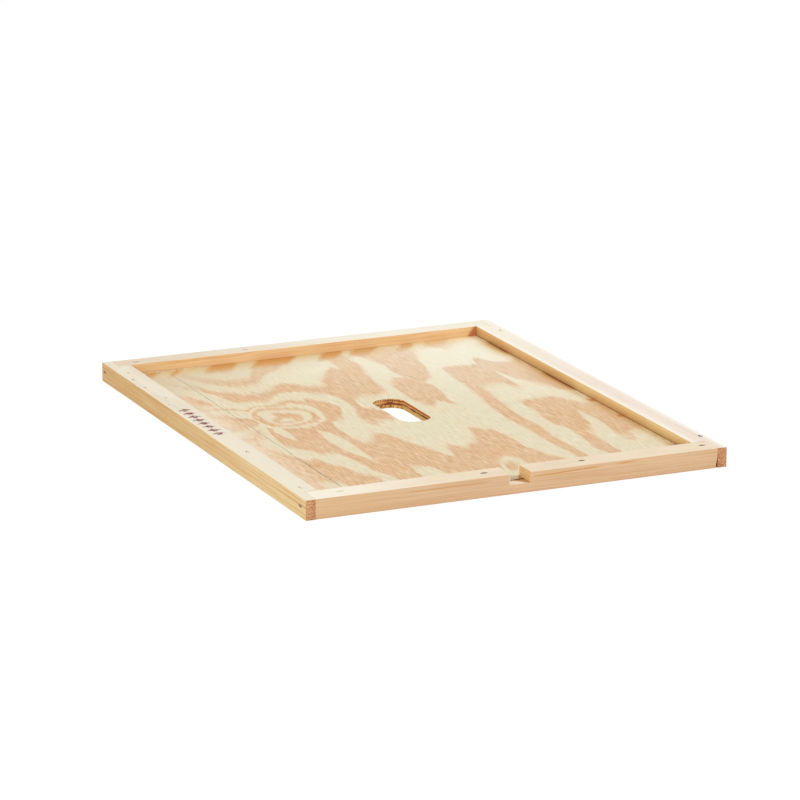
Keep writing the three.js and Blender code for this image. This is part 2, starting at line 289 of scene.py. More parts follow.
# The figure of the face veneer: late wood is salmon, early wood is cream.
# Each outline is a few points in millimetres across X and along Y, drawn as a smooth closed line.
figureSettings = {
    "stretch": 5.0,                            # an edge across the grain is this much more ragged
    "curveSteps": 5,
    "farAway": 40.0,                           # no point counts as further from late wood
    "lateOutlines": {
        "backLeftStreak": [(-176, 226), (-162, 216), (-160, 200), (-155, 180), (-151, 162), (-155, 158),
                           (-163, 178), (-176, 196)],
        "archLeftArm": [(-149, 232), (-146, 212), (-141, 194), (-134, 180), (-126, 165), (-113, 152),
                        (-101, 147), (-98, 160), (-98, 172), (-107, 175), (-119, 187), (-127, 196),
                        (-134, 206), (-139, 232)],
        "archRightArm": [(-112, 174), (-104, 150), (-86, 150), (-77, 164), (-64, 181), (-47, 193),
                         (-39, 201), (-28, 211), (-16, 232), (-60, 232), (-62, 212), (-76, 193),
                         (-88, 175)],
        "archHeart": [(-110, 232), (-108, 214), (-101, 206), (-94, 200), (-88, 206), (-82, 216),
                      (-76, 232)],
        "secondArchArm": [(-148, 184), (-147, 164), (-144, 143), (-137, 124), (-134, 108), (-128, 96),
                          (-111, 92), (-105, 88), (-98, 92), (-93, 110), (-100, 121), (-112, 119),
                          (-120, 132), (-131, 141), (-137, 150), (-143, 170)],
        "secondArchHump": [(-108, 119), (-110, 94), (-96, 96), (-88, 105), (-76, 110), (-62, 110),
                           (-48, 97), (-36, 93), (-26, 104), (-27, 122), (-42, 121), (-52, 135),
                           (-66, 142), (-77, 135), (-86, 123)],
        "middleField": [(-38, 118), (-38, 94), (-35, 78), (-34, 56), (-36, 28), (-44, 4), (-44, -16),
                        (-41, -25), (-35, -21), (-29, -12), (-15, -13), (-14, 14), (-20, 26), (-26, 34),
                        (-26, 50), (-21, 63), (-10, 70), (8, 70), (17, 76), (19, 102), (24, 132),
                        (29, 160), (33, 178), (31, 200), (30, 232), (11, 232), (10, 196), (8, 174),
                        (2, 178), (-8, 167), (-16, 151), (-26, 142), (-28, 124)],
        "leftLens": [(-176, 150), (-166, 140), (-158, 124), (-153, 106), (-155, 96), (-165, 97),
                     (-176, 108)],
        "leftThread": [(-176, 87), (-160, 84), (-149, 82), (-139, 76), (-130, 67), (-131, 62), (-137, 69),
                       (-144, 75), (-156, 80), (-176, 81)],
        "leftField": [(-176, 68), (-160, 64), (-152, 52), (-147, 46), (-142, 44), (-137.6, 35),
                      (-137.2, 22), (-142, 15), (-150, 11), (-156, 2), (-176, 4)],
        "knotCrescent": [(-134, 66), (-128, 71), (-119, 78.4), (-110, 75), (-102, 74), (-98, 78), (-89, 85),
                         (-80, 85), (-73, 80), (-70, 75), (-65, 84), (-61, 82), (-57, 74), (-52, 65),
                         (-47, 50), (-48, 36), (-53, 24), (-60, 8), (-70, 0), (-75, 6), (-73, 14),
                         (-70, 25), (-68, 40), (-69, 52), (-72, 60), (-76, 66), (-80, 70), (-84, 74),
                         (-90, 70), (-96, 68.5), (-102, 68.5), (-112, 72), (-122, 73), (-130, 65)],
        "lowerField": [(-200, -14), (-165, -16), (-148, 0), (-136, 4), (-126, -4), (-96, -8), (-82, 4),
                       (-73, 4), (-76, -14), (-77, -66), (-70, -78), (-60, -66), (-52, -52), (-42, -67),
                       (-36, -92), (-28, -116), (-18, -149), (-12, -126), (-6, -113), (1, -124),
                       (6, -132), (11, -120), (22, -113), (29, -92), (33, -71), (38, -69), (44, -80),
                       (51, -83), (55, -101), (56, -146), (61, -172), (61, -244), (-200, -244)],
        "upperMiddleField": [(44, 232), (43, 211), (45, 198), (50, 181), (53, 163), (51, 141), (54, 120),
                             (58, 105), (61, 100), (64, 92), (70, 98), (76, 104), (81, 120), (87, 135),
                             (90, 159), (95, 177), (101, 194), (107, 214), (110, 232)],
        "middleTongue": [(43, 120), (52, 116), (58, 104), (64, 88), (67, 78), (65, 60), (61, 42), (59, 12),
                         (55, 9), (51, 22), (44, 24), (36, 8), (31, 20), (27, 43), (29, 74), (31, 95),
                         (36, 110)],
        "narrowBand": [(96, 74), (93, 46), (90, 26), (86, 0), (81, -49), (83, -94), (82, -130), (84, -196),
                       (84, -244), (95, -244), (95, -196), (94, -130), (97, -94), (96, -49), (101, 3),
                       (104, 28), (107, 62)],
        "upperRightField": [(102, 134), (122, 134), (136, 134), (142, 153), (148, 154), (154, 138),
                            (168, 129), (200, 120), (200, 8), (172, 14), (168, 32), (155, 60), (148, 74),
                            (144, 104), (142, 76), (141, 46), (137, 36), (133, 48), (130, 56), (107, 58),
                            (97, 66), (95, 90), (97, 112)],
        "lowerRightField": [(117, -9), (134, -3), (148, -3), (158, -10), (166, -28), (176, -40), (200, -42),
                            (200, -138), (172, -137), (162, -150), (153, -152), (151, -140), (156, -104),
                            (157, -82), (153, -58), (149, -74), (143, -105), (139, -106), (138, -119),
                            (131, -127), (130, -146), (128, -170), (128, -244), (115, -244), (114, -196),
                            (112, -175), (116, -146), (118, -106), (112, -90), (113, -60), (117, -45)],
        "rightSpot": [(153, -157), (158, -156), (160, -162), (157, -168), (153, -164)],
        "backRightPatch": [(124, 226), (129, 200), (136, 196), (148, 208), (157, 226)],
    },
    "earlyOutlines": {
        "longSpindle": [(-95, -24), (-90, -35), (-86, -55), (-85, -78), (-87, -110), (-89, -138),
                        (-94, -116), (-101, -82), (-102, -58), (-99, -38)],
        "shortSpindle": [(-131, 8), (-126, -2), (-124, -16), (-125, -32), (-127, -46), (-132, -34),
                         (-135, -18), (-134, -4)],
        "slantBand": [(-140, 12), (-138, 0), (-142, -22), (-143, -54), (-139, -70), (-128, -83),
                      (-124, -96), (-116, -92), (-110, -100), (-105, -128), (-103, -150), (-100, -170),
                      (-94, -190), (-94, -244), (-108, -244), (-107, -182), (-118, -166), (-121, -146),
                      (-129, -130), (-135, -107), (-143, -112), (-149, -98), (-156, -78), (-162, -56),
                      (-159, -34), (-151, -18)],
        "leftEdgePatch": [(-180, 4), (-160, 3), (-151, 0), (-157, -9), (-166, -15), (-180, -18)],
        "frontLeftPatch": [(-165, -244), (-163, -186), (-157, -180), (-148, -182), (-143, -192),
                           (-142, -244)],
        "frontMiddlePatch": [(-68, -244), (-68, -176), (-62, -168), (-54, -171), (-48, -182), (-46, -244)],
        "notchPatch": [(-6, -244), (-4, -226), (3, -208), (9, -192), (14, -180), (21, -171), (29, -170),
                       (33, -180), (33, -196), (31, -215), (29, -244)],
        "backCreamPatch": [(73, 244), (75, 226), (83, 220), (93, 224), (96, 244)],
    },
    "knotRings": [                             # from the outside inwards: late wood or not, and the outline
        (True, [(-131, 55), (-126.8, 61.6), (-117.8, 68.9), (-108.4, 67), (-97.8, 63.4), (-85.5, 57),
                (-79.5, 49.7), (-76.8, 41.8), (-75.8, 30), (-78.8, 15.8), (-84.6, 5), (-90.6, 2.2),
                (-96, 3.5), (-103.4, 0.2), (-113, -1.1), (-121, 1.3), (-126, 4), (-131, 9),
                (-134, 24), (-135.5, 42)]),
        (False, [(-127.7, 50.8), (-121.7, 59.4), (-115, 61), (-109, 57.1), (-100.6, 56.8), (-88.3, 50.2),
                 (-82.9, 44.4), (-80.2, 36.5), (-82.5, 24), (-87, 15), (-93, 11), (-100.3, 7.6),
                 (-111, 3.5), (-118.5, 6.8), (-122.4, 13), (-126, 18.9), (-127.5, 30.5), (-127.5, 43.4)]),
        (True, [(-113.4, 49), (-108.2, 50), (-102.3, 44.1), (-95.6, 40), (-91.7, 35), (-90.6, 27.7),
                (-94.5, 18.3), (-100.4, 14.3), (-108.4, 12.3), (-116.6, 12.6), (-122, 17.2),
                (-123, 24.3), (-119.4, 30.4), (-113.5, 34.5), (-114.8, 43)]),
        (False, [(-115.8, 23.3), (-109.4, 27.1), (-103.9, 25.8), (-102, 20.5), (-107.5, 17.4),
                 (-114.7, 17.3)]),
        (True, [(22.5, -186), (26.5, -196), (24, -206), (18.5, -213), (10.8, -212), (11, -202),
                (15, -191)]),
    ],
}


def smoothOutline(points, steps):              # a closed Catmull-Rom line through the points
    points = np.array(points, float)
    before, after, second = np.roll(points, 1, 0), np.roll(points, -1, 0), np.roll(points, -2, 0)
    rounds = []
    for t in np.arange(steps) / steps:
        rounds.append(0.5 * (2 * points + (after - before) * t
                             + (2 * before - 5 * points + 4 * after - second) * t * t
                             + (3 * points - before - 3 * after + second) * t * t * t))
    return np.stack(rounds, 1).reshape(-1, 2)


def signedDistance(spots, outline):            # negative inside the outline
    nearest = np.full(len(spots), np.inf)
    inside = np.zeros(len(spots), bool)
    for start, end in zip(outline, np.roll(outline, -1, 0)):
        edge, away = end - start, spots - start
        share = np.clip(away @ edge / max(edge @ edge, 1e-9), 0, 1)
        nearest = np.minimum(nearest, np.linalg.norm(away - share[:, None] * edge, axis=1))
        crosses = (start[1] > spots[:, 1]) != (end[1] > spots[:, 1])
        height = end[1] - start[1] if end[1] != start[1] else 1e-9
        inside ^= crosses & (spots[:, 0] < start[0] + (spots[:, 1] - start[1]) / height * edge[0])
    return np.where(inside, -nearest, nearest)


def figureField(x, y, settings):               # how deep each point lies in late wood, in millimetres
    squash = np.array([1, 1 / settings["stretch"]])
    spots = np.stack([x, y], 1) * squash
    field = np.full(len(spots), settings["farAway"])
    for points in settings["lateOutlines"].values():
        outline = smoothOutline(points, settings["curveSteps"]) * squash
        field = np.minimum(field, signedDistance(spots, outline))
    for points in settings["earlyOutlines"].values():
        outline = smoothOutline(points, settings["curveSteps"]) * squash
        field = np.maximum(field, -signedDistance(spots, outline))
    for late, points in settings["knotRings"]:
        distance = signedDistance(spots, smoothOutline(points, settings["curveSteps"]) * squash)
        field = np.minimum(field, distance) if late else np.maximum(field, -distance)
    return -field


# Modelling helpers
mergeDistance = 0.001                          # millimetres
flatAngle = 0.5                                # degrees


def deselectAll():
    bpy.ops.object.select_all(action="DESELECT")


def makeActive(piece):
    deselectAll()
    piece.select_set(True)
    bpy.context.view_layer.objects.active = piece


def applyModifier(piece, kind, **settings):
    makeActive(piece)
    modifier = piece.modifiers.new(kind.lower(), kind)
    for key, value in settings.items():
        setattr(modifier, key, value)
    bpy.ops.object.modifier_apply(modifier=modifier.name)


def cutAway(piece, cutter):                    # takes the cutter's shape out of the piece
    applyModifier(piece, "BOOLEAN", object=cutter, operation="DIFFERENCE", solver="EXACT")
    bpy.data.objects.remove(cutter)


def settle(piece, scale):                      # puts a primitive's size and place into its mesh
    piece.scale = scale
    bpy.ops.object.transform_apply(location=True, rotation=True, scale=True)


def joinPieces(pieces, name):
    deselectAll()
    for piece in pieces:
        piece.select_set(True)
    bpy.context.view_layer.objects.active = pieces[0]
    bpy.ops.object.join()
    joined = bpy.context.object
    joined.name = name
    return joined


def copyOfNode(node, name):                    # a merged copy of a CAD node's mesh, to be worked on
    piece = bpy.data.objects.new(name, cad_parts[node].data.copy())
    bpy.context.collection.objects.link(piece)
    makeActive(piece)
    bpy.ops.object.mode_set(mode="EDIT")
    bpy.ops.mesh.select_all(action="SELECT")
    bpy.ops.mesh.remove_doubles(threshold=mergeDistance * mm)
    bpy.ops.mesh.dissolve_limited(angle_limit=math.radians(flatAngle))
    bpy.ops.object.mode_set(mode="OBJECT")
    return piece


def dress(piece, material, slot, *nodes):      # gives a finished piece its material and body, and hides the CAD nodes it replaces
    piece.data.materials.clear()
    piece.data.materials.append(material)
    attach(piece, "root")
    if nodes:
        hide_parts(*nodes)


def selectFaces(piece, wanted):                # selects the faces for which wanted(centre, normal) holds
    bpy.ops.object.mode_set(mode="EDIT")
    bpy.ops.mesh.select_mode(type="FACE")
    bpy.ops.mesh.select_all(action="DESELECT")
    bpy.ops.object.mode_set(mode="OBJECT")
    for face in piece.data.polygons:
        face.select = wanted(face.center / mm, face.normal)
    bpy.ops.object.mode_set(mode="EDIT")


def selectEdges(piece, wanted):                # selects the edges whose two ends wanted() accepts
    makeActive(piece)
    bpy.ops.object.mode_set(mode="EDIT")
    bpy.ops.mesh.select_mode(type="EDGE")
    bpy.ops.mesh.select_all(action="DESELECT")
    bpy.ops.object.mode_set(mode="OBJECT")
    points = piece.data.vertices
    for edge in piece.data.edges:
        edge.select = wanted(points[edge.vertices[0]].co / mm, points[edge.vertices[1]].co / mm)
    bpy.ops.object.mode_set(mode="EDIT")


# The escape slot, shared by the three veneers
slotSettings = {
    "centre": (2.3, 9.9),                      # millimetres, as the rest
    "size": (31.2, 82.4),
    "cornerRadius": 12.7,
    "cornerSteps": 22,
    "straightCuts": 26,
    "waveLength": 2.1,                         # of the saw's raggedness
    "overrun": 0.4,                            # how far the cutter stands past the veneer
}


def slotEnd(settings):                         # half the end's straight part, its arcs' radius and middle Y
    radius = settings["cornerRadius"]
    flat = settings["size"][0] / 2 - radius
    return flat, radius, settings["centre"][1] + settings["size"][1] / 2 - radius


def slotCutter(low, high, settings, raggedness, seed):
    deselectAll()
    centreX, centreY = settings["centre"]
    bpy.ops.mesh.primitive_cube_add(size=1, location=(centreX * mm, centreY * mm, (low + high) / 2 * mm))
    cutter = bpy.context.object
    height = high - low + 2 * settings["overrun"]
    settle(cutter, (settings["size"][0] * mm, settings["size"][1] * mm, height * mm))
    selectEdges(cutter, lambda first, second: abs(first.z - second.z) > 1)
    bpy.ops.mesh.bevel(offset=settings["cornerRadius"] * mm, segments=settings["cornerSteps"])
    bpy.ops.object.mode_set(mode="OBJECT")
    selectEdges(cutter, lambda first, second: abs(first.y - second.y) > settings["cornerRadius"])
    bpy.ops.mesh.subdivide(number_cuts=settings["straightCuts"])
    bpy.ops.object.mode_set(mode="OBJECT")
    for point in cutter.data.vertices:         # the saw leaves the wall a little ragged
        away = Vector((point.co.x - centreX * mm, point.co.y - centreY * mm, 0)).normalized()
        wave = noise(point.co / mm / settings["waveLength"] + Vector((0, 0, seed)))
        point.co += away * raggedness * mm * wave
    return cutter


# The face veneer, a fine sheet so that its figure can be kept on its points
faceVeneerSettings = {
    "node": "panel_face_veneer",
    "pointGap": 2.0,                           # millimetres between the sheet's points
    "raggedness": 0.22,
    "grain": {                                 # size across and along, detail and roughness
        "teeth": (4.6, 55, 3, 0.5),
        "fineTeeth": (0.9, 15, 2, 0.5),
        "cloud": (26, 70, 2, 0.5),
        "tuft": (1.5, 34, 3, 0.6),
        "fibre": (0.9, 17, 3, 0.62),
    },
    "lean": 1.6,                               # how far the fibres lean here and there
    "wander": 3.0,
    "figureTeeth": 3.2,                        # how far the fibres draw out the edge of the late wood
    "knotCentre": (-104, 30),
    "knotHalf": (36, 50),
    "lateTone": tone(221, 184, 139),
    "lateDeepTone": tone(212, 167, 118),
    "lateWarmTone": tone(222, 178, 124),
    "latePaleTone": tone(232, 203, 164),
    "dashTone": tone(190, 134, 88),
    "glintTone": tone(250, 224, 194),
    "rimTone": tone(214, 162, 116),
    "haloTone": tone(235, 214, 174),
    "earlyTone": tone(227, 217, 184),
    "earlyDeepTone": tone(224, 207, 166),
    "earlyPaleTone": tone(232, 225, 198),
    "earlyDashTone": tone(200, 172, 132),
    "earlyGlintTone": tone(250, 244, 226),
    "paleTone": tone(254, 250, 230),
    "lateStainTone": tone(212, 150, 72),
    "lateStainDeepTone": tone(204, 134, 42),
    "paleReach": (10, 330),                    # painted sheen, towards the far right corner
    "farReach": (172, 256),                    # painted shade, towards the back and the left
    "cornerSpan": (114, 190, 14),
    "cornerReach": (212, 227),
    "rightEdgeReach": (160, 182),
    "rightStainSpan": (140, 216, 26),          # along Y, as the next
    "rightLateReach": (155, 180),
    "rightLateSpan": (10, 104, 30),
    "leftEdgeReach": (-178, -150),
    "leftEdgeSpan": (-90, 96, 40),
    "backStainLine": 222,
    "stainSoftness": 7,
    "stainSpans": [                            # along X, and how strong
        (-178, -158, 0.85), (-148, -135, 0.9), (-112, -77, 1.0), (-63, -16, 1.1), (8, 35, 1.0),
        (39, 71, 0.75), (91, 112, 0.65), (118, 150, 0.3),
    ],
    "earlyStainTone": tone(221, 188, 124),
    "farTone": tone(216, 199, 166),
    "nearTone": tone(242, 219, 184),
    "cornerTone": tone(255, 214, 138),
    "footTone": tone(208, 166, 96),
    "footDarkTone": tone(186, 118, 56),
    "footLineTone": tone(124, 48, 22),
    "footReach": (170, 182),
    "footDarkReach": (177.5, 183),
    "footLine": 0.775,                         # from the rail's foot, in front of its gap, where the painted shadow line lies
    "footStains": [(4, 84, 16), (150, 212, 16)],         # along Y
    "rustTone": tone(194, 122, 48),
    "rustReach": (176, 181),
    "rustSpots": [(-30, 10), (-91, 9), (-206, 22)],      # along Y, and half its length
    "tears": 20,
    "tearReachShare": 0.95,                    # of half the slot's width
    "tearLength": (1.0, 4.2),
    "tearHalfWidth": (0.28, 0.50),
    "tearTip": 0.04,
    "tearOverlap": 1.2,                        # how far each groove starts inside the slot
    "tearLift": 0.1,
    "tearSeed": 14,
    "legSpacing": 5.08,                        # between a staple's legs
    "legHole": (1.5, 0.27),                    # its width, and how much longer it is along the crown
    "legOverrun": 1.0,
    "crackX": -149.0,
    "crackRows": 150,
    "crackReach": (-226.0, 222.0),             # along Y
    "crackStrongReach": (-196.0, -96.0),
    "crackFade": 12.0,
    "crackTaper": 20.0,
    "crackWaves": [(40, 5, 1.1), (9, 9, 0.28)],     # length, seed and height
    "crackBreaks": (0.60, 1.1, 11),            # share of the width, how much it varies, over what length
    "crackLeast": (0.12, 0.02),                # least share of the width, and least half width
    "crackWidth": (0.34, 0.70),
    "crackDepth": 1.0,
    "crackRise": (0.3, 1.5),                   # the wedge's sides and middle stand this far past its floor
    "crackTone": tone(72, 66, 54),
    "crackHaloTone": tone(186, 178, 146),
    # The notch: a scraped patch, painted shadow of its right wall, and painted shade in the gap at the
    # veneer's front edge
    "scrapeSpan": (-15, 10, 3),
    "goldEdge": 9.4,
    "ledgeSpan": (-12, 12, 0.5),
    "notchCreamTone": tone(226, 211, 170),
    "notchGreyTone": tone(186, 162, 128),
    "notchGoldTone": tone(176, 124, 56),
    "tornTone": tone(196, 118, 58),
    "notchEdgeTone": tone(236, 200, 154),
    "notchDarkTone": tone(118, 52, 32),
    "relief": 0.10,
}


def crackLine(settings):                       # the drying crack's wandering middle line, as X for each Y
    places = np.linspace(*settings["crackReach"], settings["crackRows"])
    waves = settings["crackWaves"]
    wander = [sum(noise(Vector((y / length, seed, 0))) * height for length, seed, height in waves)
              for y in places]
    return places, settings["crackX"] + np.array(wander)


def crackCutter(top, settings):                # a thin wedge that follows the crack
    deselectAll()
    places, middles = crackLine(settings)
    narrow, wide = settings["crackWidth"]
    strongStart, strongEnd = settings["crackStrongReach"]
    fade, taper = settings["crackFade"], settings["crackTaper"]
    usual, varied, length = settings["crackBreaks"]
    leastShare, leastHalf = settings["crackLeast"]
    sideRise, height = settings["crackRise"]
    bpy.ops.mesh.primitive_grid_add(x_subdivisions=2, y_subdivisions=len(places) - 1, size=1)
    cutter = bpy.context.object
    order = np.argsort([round(point.co.y, 6) for point in cutter.data.vertices], kind="stable")
    rows = order.reshape(len(places), 3)
    for row, y, middle in zip(rows, places, middles):
        strong = min(1, max(0, (y - strongStart) / fade)) * min(1, max(0, (strongEnd - y) / fade))
        pointed = min(1, (y - places[0]) / taper, (places[-1] - y) / taper)
        breaks = max(leastShare, usual + varied * noise(Vector((y / length, 2, 0))))
        half = max(leastHalf, (narrow + (wide - narrow) * strong) * breaks / 2 * pointed)
        for index in row:
            point = cutter.data.vertices[index]
            side = round(point.co.x * 2)
            z = top + sideRise if side else top - settings["crackDepth"]
            point.co = ((middle + side * half) * mm, y * mm, z * mm)
    bpy.ops.object.mode_set(mode="EDIT")
    bpy.ops.mesh.select_all(action="SELECT")
    bpy.ops.mesh.extrude_region_move(TRANSFORM_OT_translate={"value": (0, 0, height * mm)})
    bpy.ops.mesh.select_all(action="SELECT")
    bpy.ops.mesh.normals_make_consistent(inside=False)
    bpy.ops.object.mode_set(mode="OBJECT")
    return cutter


def stapleLegCutter(low, high, settings):      # the holes that the rim staples' legs crush into the panel
    width, longer = settings["legHole"]
    height = high - low + 2 * settings["legOverrun"]
    cubes = []
    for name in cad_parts:
        if not name.startswith("staple"):
            continue
        start, end = (Vector(corner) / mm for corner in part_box(name))
        middle, size = (start + end) / 2, end - start
        along = Vector((1, 0, 0)) if size.x > size.y else Vector((0, 1, 0))
        for side in (-0.5, 0.5):
            place = middle + along * side * settings["legSpacing"]
            place.z = (low + high) / 2
            deselectAll()
            bpy.ops.mesh.primitive_cube_add(size=1, location=place * mm)
            settle(bpy.context.object, (Vector((width, width, height)) + along * longer) * mm)
            cubes.append(bpy.context.object)
    return joinPieces(cubes, "legCutter")


def tearOutCutter(top, settings):              # grooves torn along the grain where the saw left the slot
    deselectAll()
    chance = random.Random(settings["tearSeed"])
    flat, radius, endY = slotEnd(slotSettings)
    spread = settings["tearReachShare"] * (flat + radius)
    grooves = []
    for number in range(settings["tears"]):
        share = (number + chance.uniform(0.36, 0.64)) / settings["tears"]
        offset = (2 * share - 1) * spread
        curve = max(0, abs(offset) - flat)
        edgeY = endY + math.sqrt(max(0, radius * radius - curve * curve))
        length, half = chance.uniform(*settings["tearLength"]), chance.uniform(*settings["tearHalfWidth"])
        place = Vector((slotSettings["centre"][0] + offset, edgeY + (length - settings["tearOverlap"]) / 2,
                        top + settings["tearLift"]))
        bpy.ops.mesh.primitive_cone_add(
            vertices=6, radius1=half * mm, radius2=settings["tearTip"] * mm,
            depth=(length + settings["tearOverlap"]) * mm, location=place * mm,
            rotation=(math.radians(-90), 0, 0))
        grooves.append(bpy.context.object)
    cutter = joinPieces(grooves, "tearCutter")
    bpy.ops.object.transform_apply(location=True, rotation=True, scale=True)
    return cutter


def keepNumbers(piece, name, numbers):         # one number for each of the piece's points
    layer = piece.data.attributes.new(name, "FLOAT", "POINT")
    layer.data.foreach_set("value", numbers.astype(np.float32))


def buildFaceVeneer(settings):
    low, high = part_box(settings["node"])
    size = high - low
    deselectAll()
    bpy.ops.mesh.primitive_grid_add(
        x_subdivisions=round(size.x / mm / settings["pointGap"]),
        y_subdivisions=round(size.y / mm / settings["pointGap"]),
        size=1, location=((low.x + high.x) / 2, (low.y + high.y) / 2, high.z))
    sheet = bpy.context.object
    sheet.name = "faceVeneerSheet"
    settle(sheet, (size.x, size.y, 1))
    bpy.ops.object.mode_set(mode="EDIT")
    bpy.ops.mesh.select_all(action="SELECT")
    bpy.ops.mesh.extrude_region_move(TRANSFORM_OT_translate={"value": (0, 0, -size.z)})
    bpy.ops.object.mode_set(mode="OBJECT")
    middle = (low.z + high.z) / 2 / mm
    selectFaces(sheet, lambda centre, normal: centre.z < middle and abs(normal.z) > 0.5)
    bpy.ops.mesh.dissolve_faces()
    bpy.ops.mesh.select_all(action="SELECT")
    bpy.ops.mesh.normals_make_consistent(inside=False)
    bpy.ops.object.mode_set(mode="OBJECT")
    bottom, top = low.z / mm, high.z / mm
    cutAway(sheet, tearOutCutter(top, settings))
    cutAway(sheet, slotCutter(bottom, top, slotSettings, settings["raggedness"], 3))
    cutAway(sheet, stapleLegCutter(bottom, top, settings))
    cutAway(sheet, crackCutter(top, settings))
    points = np.empty(len(sheet.data.vertices) * 3)
    sheet.data.vertices.foreach_get("co", points)
    points = points.reshape(-1, 3) / mm
    keepNumbers(sheet, "figure", figureField(points[:, 0], points[:, 1], figureSettings))
    keepNumbers(sheet, "crackOffset", points[:, 0] - np.interp(points[:, 1], *crackLine(settings)))
    return sheet


def veneerWood(shader, settings):              # the wires that all the coats of the face veneer share
    x, y, z = shader.place()
    lean = (shader.noise(x / 45, y / 150, z, 1) - 0.5) * settings["lean"]
    across = x + (shader.noise(x / 60, y / 220, 3.0) - 0.5) * settings["wander"] + lean
    noises = {name: shader.noise(across / width, y / length, z, detail, roughness)
              for name, (width, length, detail, roughness) in settings["grain"].items()}
    wood = SimpleNamespace(x=x, y=y, z=z, **noises)
    wood.teeth, wood.fineTeeth = wood.teeth - 0.5, wood.fineTeeth - 0.5
    wood.cloud = wood.cloud.rise(0.35, 0.65)
    wood.dash, wood.glint = wood.fibre.rise(0.48, 0.64), wood.fibre.fall(0.36, 0.52)
    wood.nearLeft = (x + y * 0.7).fall(-330, -90)
    (knotX, knotY), (knotWidth, knotLength) = settings["knotCentre"], settings["knotHalf"]
    u, v = (x - knotX) / knotWidth, (y - knotY) / knotLength
    calm = 1 - (u * u + v * v).fall(0.9, 1.8) * 0.62       # edges are cleaner round the knot
    wood.depth = shader.attribute("figure") + (wood.teeth + wood.fineTeeth) * settings["figureTeeth"] * calm
    # Late wood is sharp on one side of a band and soft on the other
    blur = (shader.noise(x / 40, y / 80, 9.0, 1).rise(0.42, 0.62) * 2.6 + wood.nearLeft * 0.9 + 0.9) * calm
    wood.late = wood.depth.rise(-blur, blur)
    return wood


def veneerFigure(shader, wood, settings):
    lateColour = shader.paint(
        settings["lateTone"],
        (wood.tuft.rise(0.50, 0.66) * 0.34, settings["lateDeepTone"]),
        (wood.tuft.fall(0.34, 0.50) * 0.34, settings["latePaleTone"]),
        (wood.cloud * 0.5 + wood.nearLeft * 0.35, settings["lateWarmTone"]),
        ((wood.x + wood.teeth * 8).fall(-178, -138) * 0.85, settings["nearTone"]),
        (wood.depth.bump(2.2, 3.0) * 0.30, settings["rimTone"]),
        (wood.dash * 0.46, settings["dashTone"]),
        (wood.glint * 0.46, settings["glintTone"]))
    earlyColour = shader.paint(
        settings["earlyTone"],
        (wood.tuft.rise(0.50, 0.68) * 0.05, settings["earlyDeepTone"]),
        (wood.cloud * 0.15, settings["earlyPaleTone"]),
        (wood.depth.rise(-10, 0) * 0.38, settings["haloTone"]),
        (wood.dash * 0.27, settings["earlyDashTone"]),
        (wood.glint * 0.33, settings["earlyGlintTone"]))
    return shader.mix(wood.late, earlyColour, lateColour)


def shadeSheet(shader, colour, wood, settings):          # painted sheen towards the far right, painted shade towards the far left, golden towards the back right corner, and darker along the right edge, partly stain and partly painted shade from the right rail
    x, y = wood.x, wood.y
    wideY = y + wood.teeth * 20
    darkened = x.rise(*settings["rightEdgeReach"]) * wideY.within(*settings["rightStainSpan"])
    late = x.rise(*settings["rightLateReach"]) * wideY.within(*settings["rightLateSpan"])
    inCorner = (x + wood.teeth * 8).within(*settings["cornerSpan"])
    pale = (x * 0.8 + y).rise(*settings["paleReach"])
    lateShare = 0.27 - (x * 0.5 + y).rise(235, 270) * 0.20
    return shader.paint(
        colour,
        (pale * (0.62 - wood.late * lateShare), settings["paleTone"]),
        ((y - x * 0.35).rise(*settings["farReach"]) * 0.72, settings["farTone"]),
        (inCorner * (y + wood.teeth * 8).rise(*settings["cornerReach"]) * 0.42, settings["cornerTone"]),
        (darkened * 0.5, settings["earlyStainTone"]),
        (late * 0.52, settings["lateDeepTone"]),
        (x.fall(*settings["leftEdgeReach"]) * y.within(*settings["leftEdgeSpan"]) * 0.3,
         settings["paleTone"]))


def amberBackEdge(shader, colour, wood, settings):       # tan and amber towards the back edge, deepest in the late wood
    x, y, teeth, fineTeeth = wood.x, wood.y, wood.teeth, wood.fineTeeth
    ragged = x - (y - settings["backStainLine"]) * 0.7 + teeth * 9 + fineTeeth * 11
    soft = settings["stainSoftness"]
    spans = [ragged.within(low, high, soft) * strength for low, high, strength in settings["stainSpans"]]
    darkened = sum(spans[1:], spans[0])
    early = (y + teeth * 10).rise(202, 228) * (0.62 - x.rise(100, 170) * 0.44)
    return shader.paint(
        colour,
        (early, settings["earlyStainTone"]),
        ((y + teeth * 14).rise(198, 215) * darkened * 0.66, settings["lateStainTone"]),
        ((y + fineTeeth * 16 + teeth * 8).rise(211, 224) * darkened * 0.48, settings["lateStainDeepTone"]))


def footDirtAndShade(shader, colour, wood, settings):           # darker along the right rail's foot, partly dirt and partly painted shade, with a painted shadow line in front of the gap under the rail, and rusty spots
    x, y, teeth = wood.x, wood.y, wood.teeth
    patchy = shader.noise(y / 24, x / 9, 6.0, 2).rise(0.35, 0.62)
    spans = [(y + wood.fineTeeth * 6).within(*span) for span in settings["footStains"]]
    darkened = sum(spans[1:], spans[0])
    # a painted shadow line along the gap under the rail's lip
    line = (x - (trayRight - settings["footLine"]) + darkened * 0.6).rise(0, 0.3)
    colour = shader.paint(
        colour,
        ((x + teeth * 5).rise(*settings["footReach"]) * (0.34 + patchy * 0.40 + darkened * 0.26),
         settings["footTone"]),
        ((x + teeth * 2).rise(*settings["footDarkReach"]) * darkened * 0.62, settings["footDarkTone"]),
        (line * (0.65 + darkened * 0.3), settings["footLineTone"]))
    edge = (x + wood.fineTeeth * 4).rise(*settings["rustReach"])
    for spotY, spotHalf in settings["rustSpots"]:
        rust = edge * (y + teeth * 8).bump(spotY, spotHalf)
        colour = shader.mix(rust * 0.85, colour, settings["rustTone"])
    return colour


